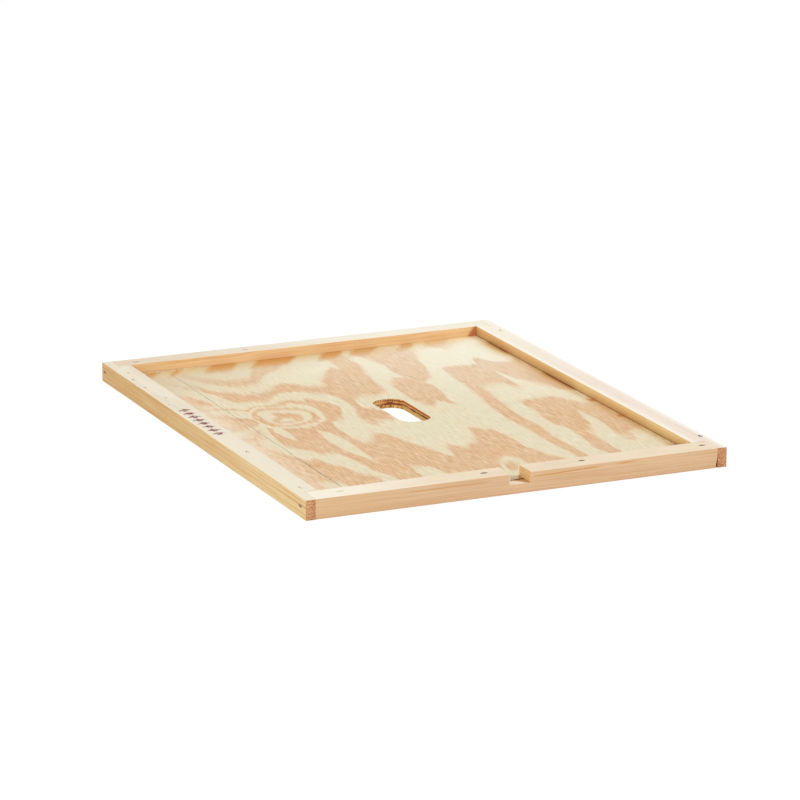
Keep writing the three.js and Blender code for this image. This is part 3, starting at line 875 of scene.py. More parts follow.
def scrapeAndShadeNotch(shader, colour, wood, settings):         # the mill that cut it scraped the veneer before it; the right wall's shadow on the veneer and the shade in the gap along the veneer's front edge are painted
    x, y, teeth = wood.x, wood.y, wood.teeth
    before = (x + teeth * 4).within(*settings["scrapeSpan"])
    shadowOnPanel = (x - settings["goldEdge"] - (y - trayFront) * 0.45).rise(0, 0.8) * x.fall(12, 13)
    ledge = (y - panelFront - (x + 12).over(0) * 0.08).fall(-0.1, 0.9) * x.within(*settings["ledgeSpan"])
    return shader.paint(
        colour,
        (before * y.fall(trayFront - 4, trayFront + 1) * 0.5, settings["notchCreamTone"]),
        (before * (y + teeth * 6).fall(trayFront - 4, trayFront + 3) * 0.75, settings["notchGreyTone"]),
        (shadowOnPanel * y.fall(trayFront - 1.5, trayFront + 1) * 0.92, settings["notchGoldTone"]),
        (ledge * (0.12 + x.rise(-7, 2) * 0.80), settings["notchDarkTone"]))


def shadeCrack(shader, colour, wood, settings):          # grey along its lips; the dark line along the crack and the dark in its groove are painted shade
    x, y, z = wood.x, wood.y, wood.z
    offset = shader.attribute("crackOffset")
    start, end = settings["crackReach"]
    strongStart, strongEnd = settings["crackStrongReach"]
    reach = y.within(start - 2, end + 2, 14)
    strong = y.within(strongStart - 4, strongEnd + 4, 14)
    broken = shader.noise(y / 5, 3.0, 8.0, 2).rise(0.44, 0.56)
    halo = offset.bump(0, 1.4) * reach * (0.26 + strong * 0.36) * (0.5 + broken * 0.5)
    core = offset.bump(0, 0.8) * reach * (0.10 + broken * 0.30 + strong * broken * 0.40)
    sunk = z.fall(panelTop - 0.18, panelTop - 0.04) * abs(x - settings["crackX"]).fall(3, 4)
    return shader.paint(
        colour,
        (halo, settings["crackHaloTone"]),
        (core, settings["crackTone"]),
        (sunk, settings["crackTone"]))


def showWalls(shader, colour, wood, settings):           # the slot's wall, and the front edge in the notch
    x, y, z = wood.x, wood.y, wood.z
    ny, nz = shader.facing()[1:]
    front = (-ny).rise(0.5, 0.8) * y.fall(panelFront + 0.4, panelFront + 1.4)
    # the veneer's front edge in the notch runs into painted shade towards the right, in the gap under the
    # lip
    edge = shader.mix(x.rise(-8, 1), settings["notchEdgeTone"], settings["notchDarkTone"])
    colour = shader.mix(front, colour, edge)
    torn = z.fall(panelTop - 0.10, panelTop - 0.02) * nearSlot(x, y, 5.8)
    colour = shader.mix(torn, colour, settings["tornTone"])
    return slotWall(shader, colour, faceWallSettings, x, y, z, nz)


def faceVeneerMaterial(settings):
    shader = newShader("faceVeneerWood")
    wood = veneerWood(shader, settings)
    colour = veneerFigure(shader, wood, settings)
    for coat in (shadeSheet, amberBackEdge, footDirtAndShade, scrapeAndShadeNotch, shadeCrack, showWalls):
        colour = coat(shader, colour, wood, settings)
    height = wood.fibre * 0.6 + wood.late * 0.3 + wood.tuft * 0.3
    return shader.finish(woodSurface(shader, colour, 0.64 - wood.late * 0.06, height, settings["relief"]))


# What the slot's walls show of each veneer. Bands are height, half height and tone; the slot shade settings
# place painted shade on the walls, deepest towards the slot's right side.
faceWallSettings = {
    "sideTone": tone(180, 92, 32),
    "sideBands": [
        (8.50, 0.36, tone(226, 142, 44)),
        (6.15, 0.32, tone(244, 202, 128)),
    ],
    "endTone": tone(238, 164, 80),
    "endStripeTone": tone(138, 64, 28),
    "endPaleTone": tone(255, 228, 160),
    "slotShadeReach": (-3, 3), "slotShadeBand": (6.35, 8.0, 0.35), "slotShade": (0.0, 0.88),
}
coreWallSettings = {
    "sideTone": tone(208, 156, 76),
    "sideBands": [
        (5.7, 0.28, tone(244, 206, 138)),
        (4.7, 0.5, tone(158, 88, 42)),
        (3.5, 0.35, tone(236, 190, 104)),
    ],
    "endTone": tone(240, 166, 84),
    "endStripeTone": tone(128, 54, 30),
    "endPaleTone": tone(255, 222, 158),
    "slotShadeReach": (-4, 3), "slotShadeBand": (2.9, 5.2, 0.5), "slotShade": (0.4, 0.48),
}
backWallSettings = {
    "sideTone": tone(232, 198, 126),
    "sideBands": [
        (2.6, 0.3, tone(204, 154, 80)),
        (1.3, 0.4, tone(216, 174, 98)),
    ],
    "endTone": tone(242, 184, 92),
    "endStripeTone": tone(136, 64, 30),
    "endPaleTone": tone(255, 230, 158),
    "slotShadeReach": (6, 16), "slotShadeBand": (1.6, 4.0, 0.9), "slotShade": (0.0, 0.35),
}
slotShadeTone = tone(122, 42, 32)
rimTone = tone(240, 166, 86)
toothTones = (tone(112, 52, 26), tone(255, 214, 138))


def nearSlot(x, y, reach):                     # 1 within the slot and, along Y, this far past its ends
    (centreX, centreY), (width, length) = slotSettings["centre"], slotSettings["size"]
    edgeX, edgeY = width / 2 + 1.4, length / 2 + reach
    return abs(x - centreX).fall(edgeX, edgeX + 1) * abs(y - centreY).fall(edgeY, edgeY + 1)


def slotWall(shader, colour, settings, x, y, z, nz):
    centreX, centreY = slotSettings["centre"]
    standing = abs(nz).fall(0.35, 0.75) * nearSlot(x, y, 1.8)
    level = z + (shader.noise(x / 7, y / 14, 2.0, 2) - 0.5) * 0.5
    side = settings["sideTone"]
    for height, halfHeight, bandTone in settings["sideBands"]:
        side = shader.mix(level.bump(height, halfHeight * 1.7), side, bandTone)
    scratches = shader.noise(x / 2, y / 9, z / 0.3, 2).rise(0.5, 0.7)
    side = shader.mix(scratches * 0.3, side, settings["endStripeTone"])
    stripes = shader.noise(x / 0.74, y / 5, z / 4, 1)
    toothed = 0.3 + (level.rise(7.2, 8.0) + level.fall(2.4, 4.2)) * 0.7
    low, high, soft = settings["slotShadeBand"]
    everywhere, more = settings["slotShade"]
    # painted shade on the wall, in a band of heights and deeper towards the right
    slotShade = ((x - centreX).rise(*settings["slotShadeReach"]) * more + everywhere) * level.within(low, high, soft)
    tooth = ((x - y * 0.48) / 2.5 + shader.noise(x / 3, 1.0, 2.0, 1)).fraction()
    edge = level.rise(6.7, 7.4) * (x - centreX).fall(6, 13)
    end = shader.paint(
        settings["endTone"],
        (stripes.rise(0.52, 0.58) * toothed * 0.9, settings["endStripeTone"]),
        (stripes.fall(0.40, 0.46) * toothed * 0.85, settings["endPaleTone"]),
        (level.within(4.3, 6.9, 0.7) * (x - centreX).fall(-7, 2) * 0.7, settings["endPaleTone"]),
        (level.rise(8.0, 8.4) * (x - centreX).rise(-5, 4) * 0.6, rimTone),
        (slotShade, slotShadeTone),
        (tooth.bump(0.25, 0.36) * edge * 0.95, toothTones[0]),
        (tooth.bump(0.75, 0.24) * edge * 0.85, toothTones[1]))
    endwise = abs(y - centreY).rise(29, 33)
    return shader.mix(standing, colour, shader.mix(endwise, side, end))


faceVeneer = buildFaceVeneer(faceVeneerSettings)
dress(faceVeneer, faceVeneerMaterial(faceVeneerSettings), "face_veneer", "panel_face_veneer")
print("face veneer made:", len(faceVeneer.data.polygons), "faces")


# The core veneer lies crosswise, and gaps between its strips show in the slot's wall
coreSettings = {
    "node": "panel_core_veneer",
    "raggedness": 0.35,
    "tone": tone(206, 160, 88),
    "deepTone": tone(176, 122, 56),
    "voidTone": tone(156, 66, 54),
    "voids": [                                 # place in millimetres, then half its size
        ((18.6, 34.5, 5.00), (1.8, 5.4, 0.55)),
        ((18.4, 18.0, 4.75), (1.8, 7.0, 1.00)),
        ((18.6, 5.0, 5.20), (1.8, 6.0, 0.50)),
        ((18.4, -7.5, 4.90), (1.6, 13.0, 0.85)),
        ((8.0, 50.4, 5.30), (4.0, 1.4, 0.42)),
    ],
}
backVeneerSettings = {
    "node": "panel_back_veneer",
    "raggedness": 0.25,
    "tone": tone(231, 205, 160),
    "deepTone": tone(222, 178, 132),
    "dashTone": tone(196, 144, 98),
    "glintTone": tone(246, 224, 196),
    "ringGap": 34.0,
}


def buildInnerVeneer(name, settings, seed):
    sheet = copyOfNode(settings["node"], name)
    low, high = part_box(settings["node"])
    for place, halfSize in settings.get("voids", []):
        deselectAll()
        bpy.ops.mesh.primitive_uv_sphere_add(
            segments=24, ring_count=12, radius=1, location=Vector(place) * mm)
        hollow = bpy.context.object
        settle(hollow, Vector(halfSize) * mm)
        cutAway(sheet, hollow)
    cutAway(sheet, slotCutter(low.z / mm, high.z / mm, slotSettings, settings["raggedness"], seed))
    return sheet


def coreMaterial(settings):
    shader = newShader("coreVeneerWood")
    x, y, z = shader.place()
    nz = shader.facing()[2]
    grain = shader.noise(x / 14, y / 1.2, z / 0.8, 3).rise(0.35, 0.65)
    colour = shader.mix(grain, settings["tone"], settings["deepTone"])
    colour = slotWall(shader, colour, coreWallSettings, x, y, z, nz)
    for (placeX, placeY, placeZ), (halfX, halfY, halfZ) in settings["voids"]:
        across, along, up = (x - placeX) / halfX, (y - placeY) / halfY, (z - placeZ) / halfZ
        ragged = (shader.noise(x / 1.5, y / 1.5, z / 0.6) - 0.5) * 0.8
        inside = (across * across + along * along + up * up + ragged).fall(0.85, 1.35)
        colour = shader.mix(inside, colour, settings["voidTone"])
    return shader.finish(woodSurface(shader, colour, 0.75, grain, 0.12))


def backVeneerMaterial(settings):
    shader = newShader("backVeneerWood")
    x, y, z = shader.place()
    nz = shader.facing()[2]
    teeth = shader.noise(x / 4.5, y / 60, z, 3) - 0.5
    hills = shader.noise(x / 70 + 3, y / 260, z, 1) * 210 + shader.noise(x / 25, y / 90, z, 2) * 26
    ring = ((hills + teeth * 9) / settings["ringGap"]).fraction()
    late = ring.rise(0.30, 0.50) * ring.fall(0.90, 1.0)
    fibre = shader.noise(x / 0.85, y / 7, z, 2, 0.6)
    colour = shader.paint(
        settings["tone"],
        (late * 0.8, settings["deepTone"]),
        (fibre.rise(0.50, 0.68) * (0.2 + late * 0.3), settings["dashTone"]),
        (fibre.fall(0.32, 0.50) * 0.4, settings["glintTone"]))
    colour = slotWall(shader, colour, backWallSettings, x, y, z, nz)
    return shader.finish(woodSurface(shader, colour, 0.62, fibre * 0.5 + late * 0.35, 0.08))


coreVeneer = buildInnerVeneer("coreVeneerSheet", coreSettings, 17)
dress(coreVeneer, coreMaterial(coreSettings), "core_veneer", coreSettings["node"])
backVeneer = buildInnerVeneer("backVeneerSheet", backVeneerSettings, 29)
dress(backVeneer, backVeneerMaterial(backVeneerSettings), "back_veneer", backVeneerSettings["node"])
print("inner veneers made")


# Torn fibres along the slot's rounded back end, where the saw crossed the grain
fibreSettings = {
    "count": 58,
    "length": (0.9, 2.3),                      # millimetres
    "thickness": (0.16, 0.34),
    "flatShare": 0.45,                         # of its width
    "bend": 0.9,
    "reachShare": 0.93,                        # of half the slot's end
    "topHeight": (8.0, 8.5),
    "topLift": (-0.5, 0.1),
    "footHeight": (0.5, 1.3),
    "footLift": (0.0, 0.25),
    "sway": 0.4,
    "root": 0.35,                              # how deep it sits in the wall
    "seed": 5,
    "tones": (tone(240, 206, 146), tone(206, 132, 62), tone(134, 66, 36)),
}


def shapeFibre(settings):                      # one torn fibre: a flat, bent spike, standing at the origin
    deselectAll()
    bpy.ops.mesh.primitive_cone_add(vertices=6, radius1=1, radius2=0.12, depth=1, location=(0, 0, 0.5))
    fibre = bpy.context.object
    settle(fibre, (1, settings["flatShare"], 1))
    bpy.ops.object.mode_set(mode="EDIT")
    bpy.ops.mesh.select_all(action="SELECT")
    bpy.ops.mesh.bisect(plane_co=(0, 0, 0.45), plane_no=(0, 0, 1))
    bpy.ops.object.mode_set(mode="OBJECT")
    for point in fibre.data.vertices:
        point.co.y += settings["bend"] * point.co.z ** 2
    return fibre


def placeFibres(settings):
    pattern = shapeFibre(settings)
    chance = random.Random(settings["seed"])
    centreX = slotSettings["centre"][0]
    flat, radius, endY = slotEnd(slotSettings)
    sway = settings["sway"]
    pieces = []
    for number in range(settings["count"]):
        reach = (flat + radius * math.pi / 2) * (chance.uniform(-1, 1) * settings["reachShare"])
        angle = math.copysign(max(0, abs(reach) - flat) / radius, reach)
        middleX = centreX + max(-flat, min(flat, reach))
        place = Vector((middleX + math.sin(angle) * radius, endY + math.cos(angle) * radius, 0))
        inwards = Vector((-math.sin(angle), -math.cos(angle), 0))
        level = "top" if number % 3 else "foot"
        place.z = chance.uniform(*settings[level + "Height"])
        place -= inwards * settings["root"]
        lift = chance.uniform(*settings[level + "Lift"])
        direction = (inwards + Vector((chance.uniform(-sway, sway), 0, lift))).normalized()
        copy = pattern.copy()
        copy.data = pattern.data.copy()
        bpy.context.collection.objects.link(copy)
        length, thickness = chance.uniform(*settings["length"]), chance.uniform(*settings["thickness"])
        copy.rotation_euler = direction.to_track_quat("Z", "Y").to_euler()
        copy.scale = Vector((thickness, thickness, length)) * mm
        copy.location = place * mm
        pieces.append(copy)
    bpy.data.objects.remove(pattern)
    fibres = joinPieces(pieces, "slotFibres")
    bpy.ops.object.transform_apply(location=True, rotation=True, scale=True)
    return fibres


def fibreMaterial(settings):
    shader = newShader("tornFibre")
    x, y, z = shader.place()
    pale, mid, dark = settings["tones"]
    change = shader.noise(x / 0.8, y / 3, z / 2, 2)
    colour = shader.paint(mid, (change.rise(0.50, 0.60), dark), (change.fall(0.38, 0.48), pale))
    return shader.finish(woodSurface(shader, colour, 0.7, shader.noise(x * 4, y * 4, z * 4), 0.05))


slotFibres = placeFibres(fibreSettings)
dress(slotFibres, fibreMaterial(fibreSettings), "face_veneer")
print("torn fibres placed:", len(slotFibres.data.polygons), "faces")


# Beads of glue that squeezed out in front of the back rail
glueSettings = {
    "smoothAngle": 50,                         # degrees
    "count": 30,
    "reach": (-181.0, -113.0),                 # along X
    "placeY": 230.4,
    "placeSpread": 0.7,
    "halfSizes": [(0.9, 2.3), (0.6, 1.1), (0.5, 1.0)],       # along X, Y and Z, least and most
    "lumps": 0.28,
    "sunk": 0.1,                               # how far the beads reach into the veneer
    "seed": 8,
    "tone": tone(240, 226, 190),
    "deepTone": tone(222, 190, 132),
}


def squeezeGlue(settings):
    chance = random.Random(settings["seed"])
    beads = []
    start, end = settings["reach"]
    spread = settings["placeSpread"]
    for number in range(settings["count"]):
        share = (number + chance.uniform(-0.4, 0.4)) / (settings["count"] - 1)
        placeX, placeY = start + share * (end - start), settings["placeY"] + chance.uniform(-spread, spread)
        deselectAll()
        bpy.ops.mesh.primitive_ico_sphere_add(
            subdivisions=2, radius=1, location=Vector((placeX, placeY, panelTop)) * mm)
        bead = bpy.context.object
        for point in bead.data.vertices:
            point.co *= 1 + settings["lumps"] * noise(point.co * 1.4 + Vector((number * 3.1, 0, 0)))
        settle(bead, [chance.uniform(*ends) * mm for ends in settings["halfSizes"]])
        selectFaces(bead, lambda centre, normal: True)
        floor = (0, 0, (panelTop - settings["sunk"]) * mm)
        bpy.ops.mesh.bisect(plane_co=floor, plane_no=(0, 0, 1), clear_inner=True, use_fill=True)
        bpy.ops.object.mode_set(mode="OBJECT")
        beads.append(bead)
    glue = joinPieces(beads, "glueBeads")
    bpy.ops.object.shade_smooth_by_angle(angle=math.radians(settings["smoothAngle"]))
    return glue


def glueMaterial(settings):
    shader = newShader("driedGlue")
    x, y, z = shader.place()
    cloud = shader.noise(x / 3, y / 1.5, z / 1.5, 3).rise(0.4, 0.6)
    colour = shader.mix(cloud, settings["tone"], settings["deepTone"])
    return shader.finish(woodSurface(shader, colour, 0.5, shader.noise(x * 2, y * 2, z * 2), 0.05))


glueBeads = squeezeGlue(glueSettings)
dress(glueBeads, glueMaterial(glueSettings), "face_veneer")
print("glue beads placed:", len(glueBeads.data.polygons), "faces")


# The pine rails: rings of growth round a pith that lies outside the board
railSettings = {
    "left_side_rail": {
        "name": "leftSideRail", "slot": "side_rail_pine",
        "along": "Y", "pith": (-190.0, -75.0), "ringGap": 2.3, "seed": 3.0, "drift": 9.0,
        "topTones": (tone(237, 226, 204), tone(226, 211, 184)),
        "outerTones": (tone(222, 190, 132), tone(203, 151, 82)),
        "lineTone": tone(210, 146, 68), "lineShare": 0.60, "lineSlope": 0.007,
        "innerTones": (tone(236, 200, 150), tone(222, 176, 118)),
        "endTones": (tone(216, 170, 124), tone(182, 108, 52)),
        "endsPaleFrom": (190, -240), "paleTone": tone(240, 230, 207), "outerPaleTone": tone(240, 212, 158),
        "outerPaleShare": 0.85, "innerPaleTone": tone(240, 206, 156),
    },
    "right_side_rail": {
        "name": "rightSideRail", "slot": "side_rail_pine",
        "along": "Y", "pith": (168.0, 52.0), "ringGap": 2.8, "seed": 11.0, "drift": 8.0,
        "topTones": (tone(243, 229, 212), tone(234, 213, 192)),
        "outerTones": (tone(230, 196, 146), tone(214, 168, 110)),
        "lineTone": tone(208, 160, 96), "lineShare": 0.25, "lineSlope": 0.004,
        "innerTones": (tone(244, 215, 157), tone(232, 196, 135)),
        "innerFarTones": (tone(238, 195, 136), tone(221, 170, 106)),
        "endTones": (tone(214, 162, 108), tone(182, 104, 54)),
        "endsPaleFrom": (-60, 240), "paleTone": tone(248, 241, 222), "outerPaleTone": tone(238, 208, 160),
        "outerPaleShare": 0.45, "innerPaleTone": tone(254, 222, 164),
    },
    "front_end_rail": {
        "name": "frontEndRail", "slot": "end_rail_pine",
        "along": "X", "pith": (-245.0, 96.0), "ringGap": 2.9, "seed": 19.0, "drift": 10.0,
        "topTones": (tone(239, 221, 192), tone(230, 206, 176)),
        "outerTones": (tone(234, 198, 159), tone(218, 175, 129)),
        "lineTone": tone(206, 150, 98), "lineShare": 0.24, "lineSlope": 0.006,
        "innerTones": (tone(238, 198, 148), tone(226, 180, 128)),
        "endTones": (tone(170, 96, 54), tone(120, 56, 32)),
        "endsPaleFrom": (-40, -190), "paleTone": tone(252, 246, 228), "outerPaleTone": tone(228, 189, 144),
        "outerPaleShare": 0.75, "innerPaleTone": tone(238, 198, 148),
    },
    "back_end_rail": {
        "name": "backEndRail", "slot": "end_rail_pine",
        "along": "X", "pith": (262.0, 40.0), "ringGap": 4.2, "seed": 27.0, "drift": 16.0,
        "topTones": (tone(236, 221, 198), tone(222, 203, 176)),
        "outerTones": (tone(236, 196, 154), tone(226, 180, 134)),
        "lineTone": tone(216, 154, 92), "lineShare": 0.26, "lineSlope": -0.012,
        "innerTones": (tone(252, 218, 168), tone(230, 178, 118)),
        "endTones": (tone(222, 178, 118), tone(200, 150, 92)),
        "endsPaleFrom": (-150, 120), "paleTone": tone(249, 243, 226), "outerPaleTone": tone(240, 204, 164),
        "outerPaleShare": 0.45, "innerPaleTone": tone(247, 209, 158),
    },
}
smoothAngle = 26                               # degrees; edges that turn more stay sharp
dimpleSettings = {
    "halfLength": 3.5,                         # along the staple's crown
    "halfWidth": 2.0,
    "cornerHalfWidth": 1.15,
    "depth": 0.65,
    "rise": 0.35,                              # the dish's middle lies this far off the wood
    "bruiseAndShadeTone": tone(60, 54, 46),
    "bruiseAndShades": {                               # how dark each staple's surroundings are
        "staple_left_1": 0.10, "staple_left_2": 0.20, "staple_left_3": 0.10,
        "staple_front_1": 0.28, "staple_front_2": 1.0, "staple_front_3": 1.0, "staple_front_4": 0.9,
        "staple_right_1": 0.70, "staple_right_2": 0.0,
        "staple_back_1": 0.60, "staple_back_2": 0.40,
        "corner_staple_front_left": 1.0, "corner_staple_back_left": 0.95,
        "corner_staple_front_right": 0.9, "corner_staple_back_right": 0.9,
    },
}
jointSettings = {                              # glued joints, closed up tighter than the CAD leaves them
    "gap": 0.3,                                # as the CAD has it
    "shoulderGap": 0.02,                       # closed, at the side rails' shoulders
    "endGap": 0.075,                           # closed, at the end rails' ends
    "lipGaps": (0.1, 0.01),                    # over the panel: the CAD's, and closed
    "tolerance": 0.02,
    "shortBy": 1.7,                            # the front rail's right end was sawn short at its foot
    "shortTo": 11.0,                           # up to this height
}
notchSettings = {
    "sides": (8.1, -11.5),
    "radii": (1.2, 0.35),
    "skew": 1.9,                               # how far the notch's back lies to the right
    "flare": (1.0, 1.5),                       # at the front: the whole wall, and the right one's top
    "margin": 1.5,
}


def staplesOf(railName):                       # name, crown's middle and direction, and the way out
    side = railName.split("_")[0]
    spots = []
    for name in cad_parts:
        low, high = (Vector(corner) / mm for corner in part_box(name))
        middle, size = (low + high) / 2, high - low
        if name.startswith("staple_" + side):
            crown = Vector((1, 0, 0)) if size.x > size.y else Vector((0, 1, 0))
            spots.append((name, Vector((middle.x, middle.y, railTop)), crown, Vector((0, 0, 1))))
        elif name.startswith("corner_staple") and name.endswith(side):
            out = Vector((math.copysign(1, middle.x), 0, 0))
            spots.append((name, Vector((out.x * halfWidth, middle.y, middle.z)), Vector((0, 1, 0)), out))
    return spots


def dimpleSize(name, settings):
    width = settings["cornerHalfWidth" if name.startswith("corner") else "halfWidth"]
    return settings["halfLength"], width


def sinkDimples(rail, spots, settings):
    rise = settings["rise"]
    for name, place, crown, out in spots:
        length, width = dimpleSize(name, settings)
        across = crown.cross(out)
        deselectAll()
        bpy.ops.mesh.primitive_uv_sphere_add(
            segments=32, ring_count=16, radius=1, location=(place + out * rise) * mm)
        dish = bpy.context.object
        half = [abs(crown[i]) * length + abs(across[i]) * width + abs(out[i]) * (settings["depth"] + rise)
                for i in range(3)]
        settle(dish, Vector(half) * mm)
        cutAway(rail, dish)


def openJoint(rail, settings):                 # a wedge of gap under the right tongue
    selectFaces(rail, lambda centre, normal: normal.x > 0.9 and centre.x > endRight - 1)
    bpy.ops.mesh.bisect(plane_co=(0, 0, settings["shortTo"] * mm), plane_no=(0, 0, 1))
    bpy.ops.object.mode_set(mode="OBJECT")
    for point in rail.data.vertices:
        if point.co.x > (endRight - 0.5) * mm and point.co.z < 1 * mm:
            point.co.x -= settings["shortBy"] * mm


def softenNotch(rail, settings):               # it was cut a little askew, and its front edges wore round
    def onEdge(point):
        return abs(point.x - sideX) < 0.1 and point.y < frontFace + 0.4

    for sideX, radius in zip(settings["sides"], settings["radii"]):
        selectEdges(
            rail, lambda first, second: onEdge(first) and onEdge(second) and abs(first.z - second.z) > 3)
        bpy.ops.mesh.bevel(offset=radius * mm, segments=4)
        bpy.ops.object.mode_set(mode="OBJECT")
    right, left = settings["sides"]
    whole, top = settings["flare"]
    for point in rail.data.vertices:
        x, y, z = point.co / mm
        if left - settings["margin"] < x < right + settings["margin"] and z > panelTop - 0.1:
            back, up = (y - frontFace) / (trayFront - frontFace), (z - panelTop) / (railTop - panelTop)
            flare = (1 - back) * (top * up + whole if x > (left + right) / 2 else whole)
            point.co.x += (settings["skew"] * back + flare) * mm


def closeJoints(rail, settings):
    gap, near = settings["gap"], settings["tolerance"]
    shoulders = ((trayFront + gap, trayFront + settings["shoulderGap"]),
                 (trayBack - gap, trayBack - settings["shoulderGap"]))
    closedEnd = endRight + gap - settings["endGap"]
    openLip, closedLip = (panelTop + lipGap for lipGap in settings["lipGaps"])
    for point in rail.data.vertices:
        for openY, closedY in shoulders:
            if abs(point.co.y / mm - openY) < near:
                point.co.y = closedY * mm
        if abs(abs(point.co.x / mm) - endRight) < near:
            point.co.x = math.copysign(closedEnd * mm, point.co.x)
        if abs(point.co.z / mm - openLip) < near:
            point.co.z = closedLip * mm


def buildRail(railName, settings):
    rail = copyOfNode(railName, settings["name"])
    sinkDimples(rail, staplesOf(railName), dimpleSettings)
    closeJoints(rail, jointSettings)
    if railName == "front_end_rail":
        openJoint(rail, jointSettings)
        softenNotch(rail, notchSettings)
    makeActive(rail)
    bpy.ops.object.shade_smooth_by_angle(angle=math.radians(smoothAngle))
    return rail


def pineWood(shader, railName, settings):      # the wires that all the coats of a rail share
    x, y, z = shader.place()
    nx, ny, nz = shader.facing()
    alongX = settings["along"] == "X"
    along, across, endFacing, sideFacing = (x, y, nx, ny) if alongX else (y, x, ny, nx)
    insideFace, outsideFace = sorted((corner[1 if alongX else 0] for corner in boxOf(railName)), key=abs)
    outwards = math.copysign(1, outsideFace)
    pithAcross, pithUp = settings["pith"]
    seed = settings["seed"]
    drift = (shader.noise(along / 170, across / 40, z / 40 + seed, 2) - 0.5) * settings["drift"]
    sideways, upwards = across - pithAcross + drift, z - pithUp + drift * 0.6
    radius = (sideways * sideways + upwards * upwards) ** 0.5
    wobble = shader.noise(along / 30, across / 2.4, z / 2.4 + seed, 3) - 0.5
    ring = (radius / settings["ringGap"] + wobble * 1.3).fraction()
    late = ring.rise(0.25, 0.88) * ring.fall(0.92, 1.0)
    streak = shader.noise(radius / 1.5, along / 240, seed, 3, 0.6).rise(0.38, 0.68)
    fibre = shader.noise(along / 14, across / 0.6, z / 0.6 + seed, 2)
    cloud = shader.noise(along / 60, across / 12, z / 12 + seed, 2).rise(0.35, 0.65)
    slope = along * settings["lineSlope"] + shader.noise(along / 130, seed, 5.0, 1) * 4
    lines = shader.noise((z + slope) / 1.4, along / 170, seed + 2, 2, 0.6).rise(0.53, 0.62)
    start, end = settings["endsPaleFrom"]
    # The outer and inner faces, without the dimples on top that face the same way
    facing, place = sideFacing * outwards, across * outwards
    return SimpleNamespace(
        x=x, y=y, z=z, nx=nx, nz=nz, across=across, along=along, radius=radius, seed=seed,
        shade=streak * 0.62 + late * 0.14 + (fibre - 0.5) * 0.55 + cloud * 0.22,
        plain=streak * 0.12 + (fibre - 0.5) * 0.7 + cloud * 0.45,
        thread=shader.noise(along / 55, across / 0.7, z / 0.55 + seed, 2, 0.6),
        lines=lines * settings["lineShare"],
        pale=along.rise(start, end) if end > start else along.fall(end, start),
        outer=facing.rise(0.3, 0.7) * (place - abs(outsideFace)).rise(-1.6, -0.8),
        inner=facing.fall(-0.7, -0.3) * (place - abs(insideFace)).fall(0.8, 1.6),
        ends=abs(endFacing).rise(0.5, 0.8),
        height=late * 0.3 + fibre * 0.6)


def pineFaces(shader, pine, settings):         # the rail's top, outer side and inner wall
    top = shader.mix(pine.plain, *settings["topTones"])
    side = shader.paint(
        shader.mix(pine.shade, *settings["outerTones"]),
        (pine.pale * settings["outerPaleShare"], settings["outerPaleTone"]),
        (pine.thread.rise(0.52, 0.68) * 0.45, settings["outerTones"][1]),
        (pine.thread.fall(0.34, 0.48) * 0.30, settings["outerPaleTone"]),
        (pine.lines, settings["lineTone"]))
    farTones = settings.get("innerFarTones", settings["innerTones"])
    wallTones = [shader.mix(pine.pale, near, far) for near, far in zip(settings["innerTones"], farTones)]
    wall = shader.paint(
        shader.mix(pine.shade * 0.7 + pine.thread.rise(0.5, 0.7) * 0.25, *wallTones),
        # painted light: the inner wall is lighter at its foot, against the shade it gets there
        (pine.z.fall(panelTop, panelTop + 5.1) * 0.55, settings["innerPaleTone"]),
        (pine.lines, settings["lineTone"]))
    return shader.paint(
        top,
        # paler towards one end; on the back rail this is painted sheen, towards the right
        (pine.pale * 0.7, settings["paleTone"]),
        (pine.outer, side),
        (pine.inner, wall))


def pineEnds(shader, pine, settings):          # end grain
    across, z, seed = pine.across, pine.z, pine.seed
    waves = (shader.noise(across / 2.6, z / 6, seed + 5, 2) - 0.5) * 3.4
    ring = ((pine.radius + waves) / 2.7).fraction()
    grit = shader.noise(across / 1.1, z / 0.9, pine.along + seed, 3, 0.7)
    darker = shader.noise(across / 1.5, z / 2.4, seed, 2).rise(0.36, 0.52)
    return shader.paint(
        settings["endTones"][0],
        (ring.within(0.15, 0.85, 0.3) * 0.75, settings["endTones"][1]),
        ((abs(across) - (halfWidth - 6.775)).fall(0, 3.4) * darker * 0.6, settings["endTones"][1]),
        (grit.rise(0.50, 0.64) * 0.55, settings["endTones"][1]),
        (grit.fall(0.34, 0.48) * 0.60, settings["topTones"][1]))


def bruiseAndShade(shader, colour, pine, spots, settings):       # the dark dish round each staple: crushed wood, with painted shade of the dish and the staple's pocket
    for name, place, crown, out in spots:
        length, width = dimpleSize(name, settings)
        offsets = (pine.x - place.x, pine.y - place.y, pine.z - place.z)
        lengthwise, sideways, outwards = (
            next(offset for offset, share in zip(offsets, direction) if abs(share) > 0.5)
            for direction in (crown, crown.cross(out), out))
        u, v = lengthwise / length, sideways / width
        spread = (u * u + v * v) ** 0.5
        near = abs(outwards).fall(1.0, 1.6)
        amount = spread.fall(0.68, 1.08) * near * settings["bruiseAndShades"][name]
        colour = shader.mix(amount, colour, settings["bruiseAndShadeTone"])
    return colour


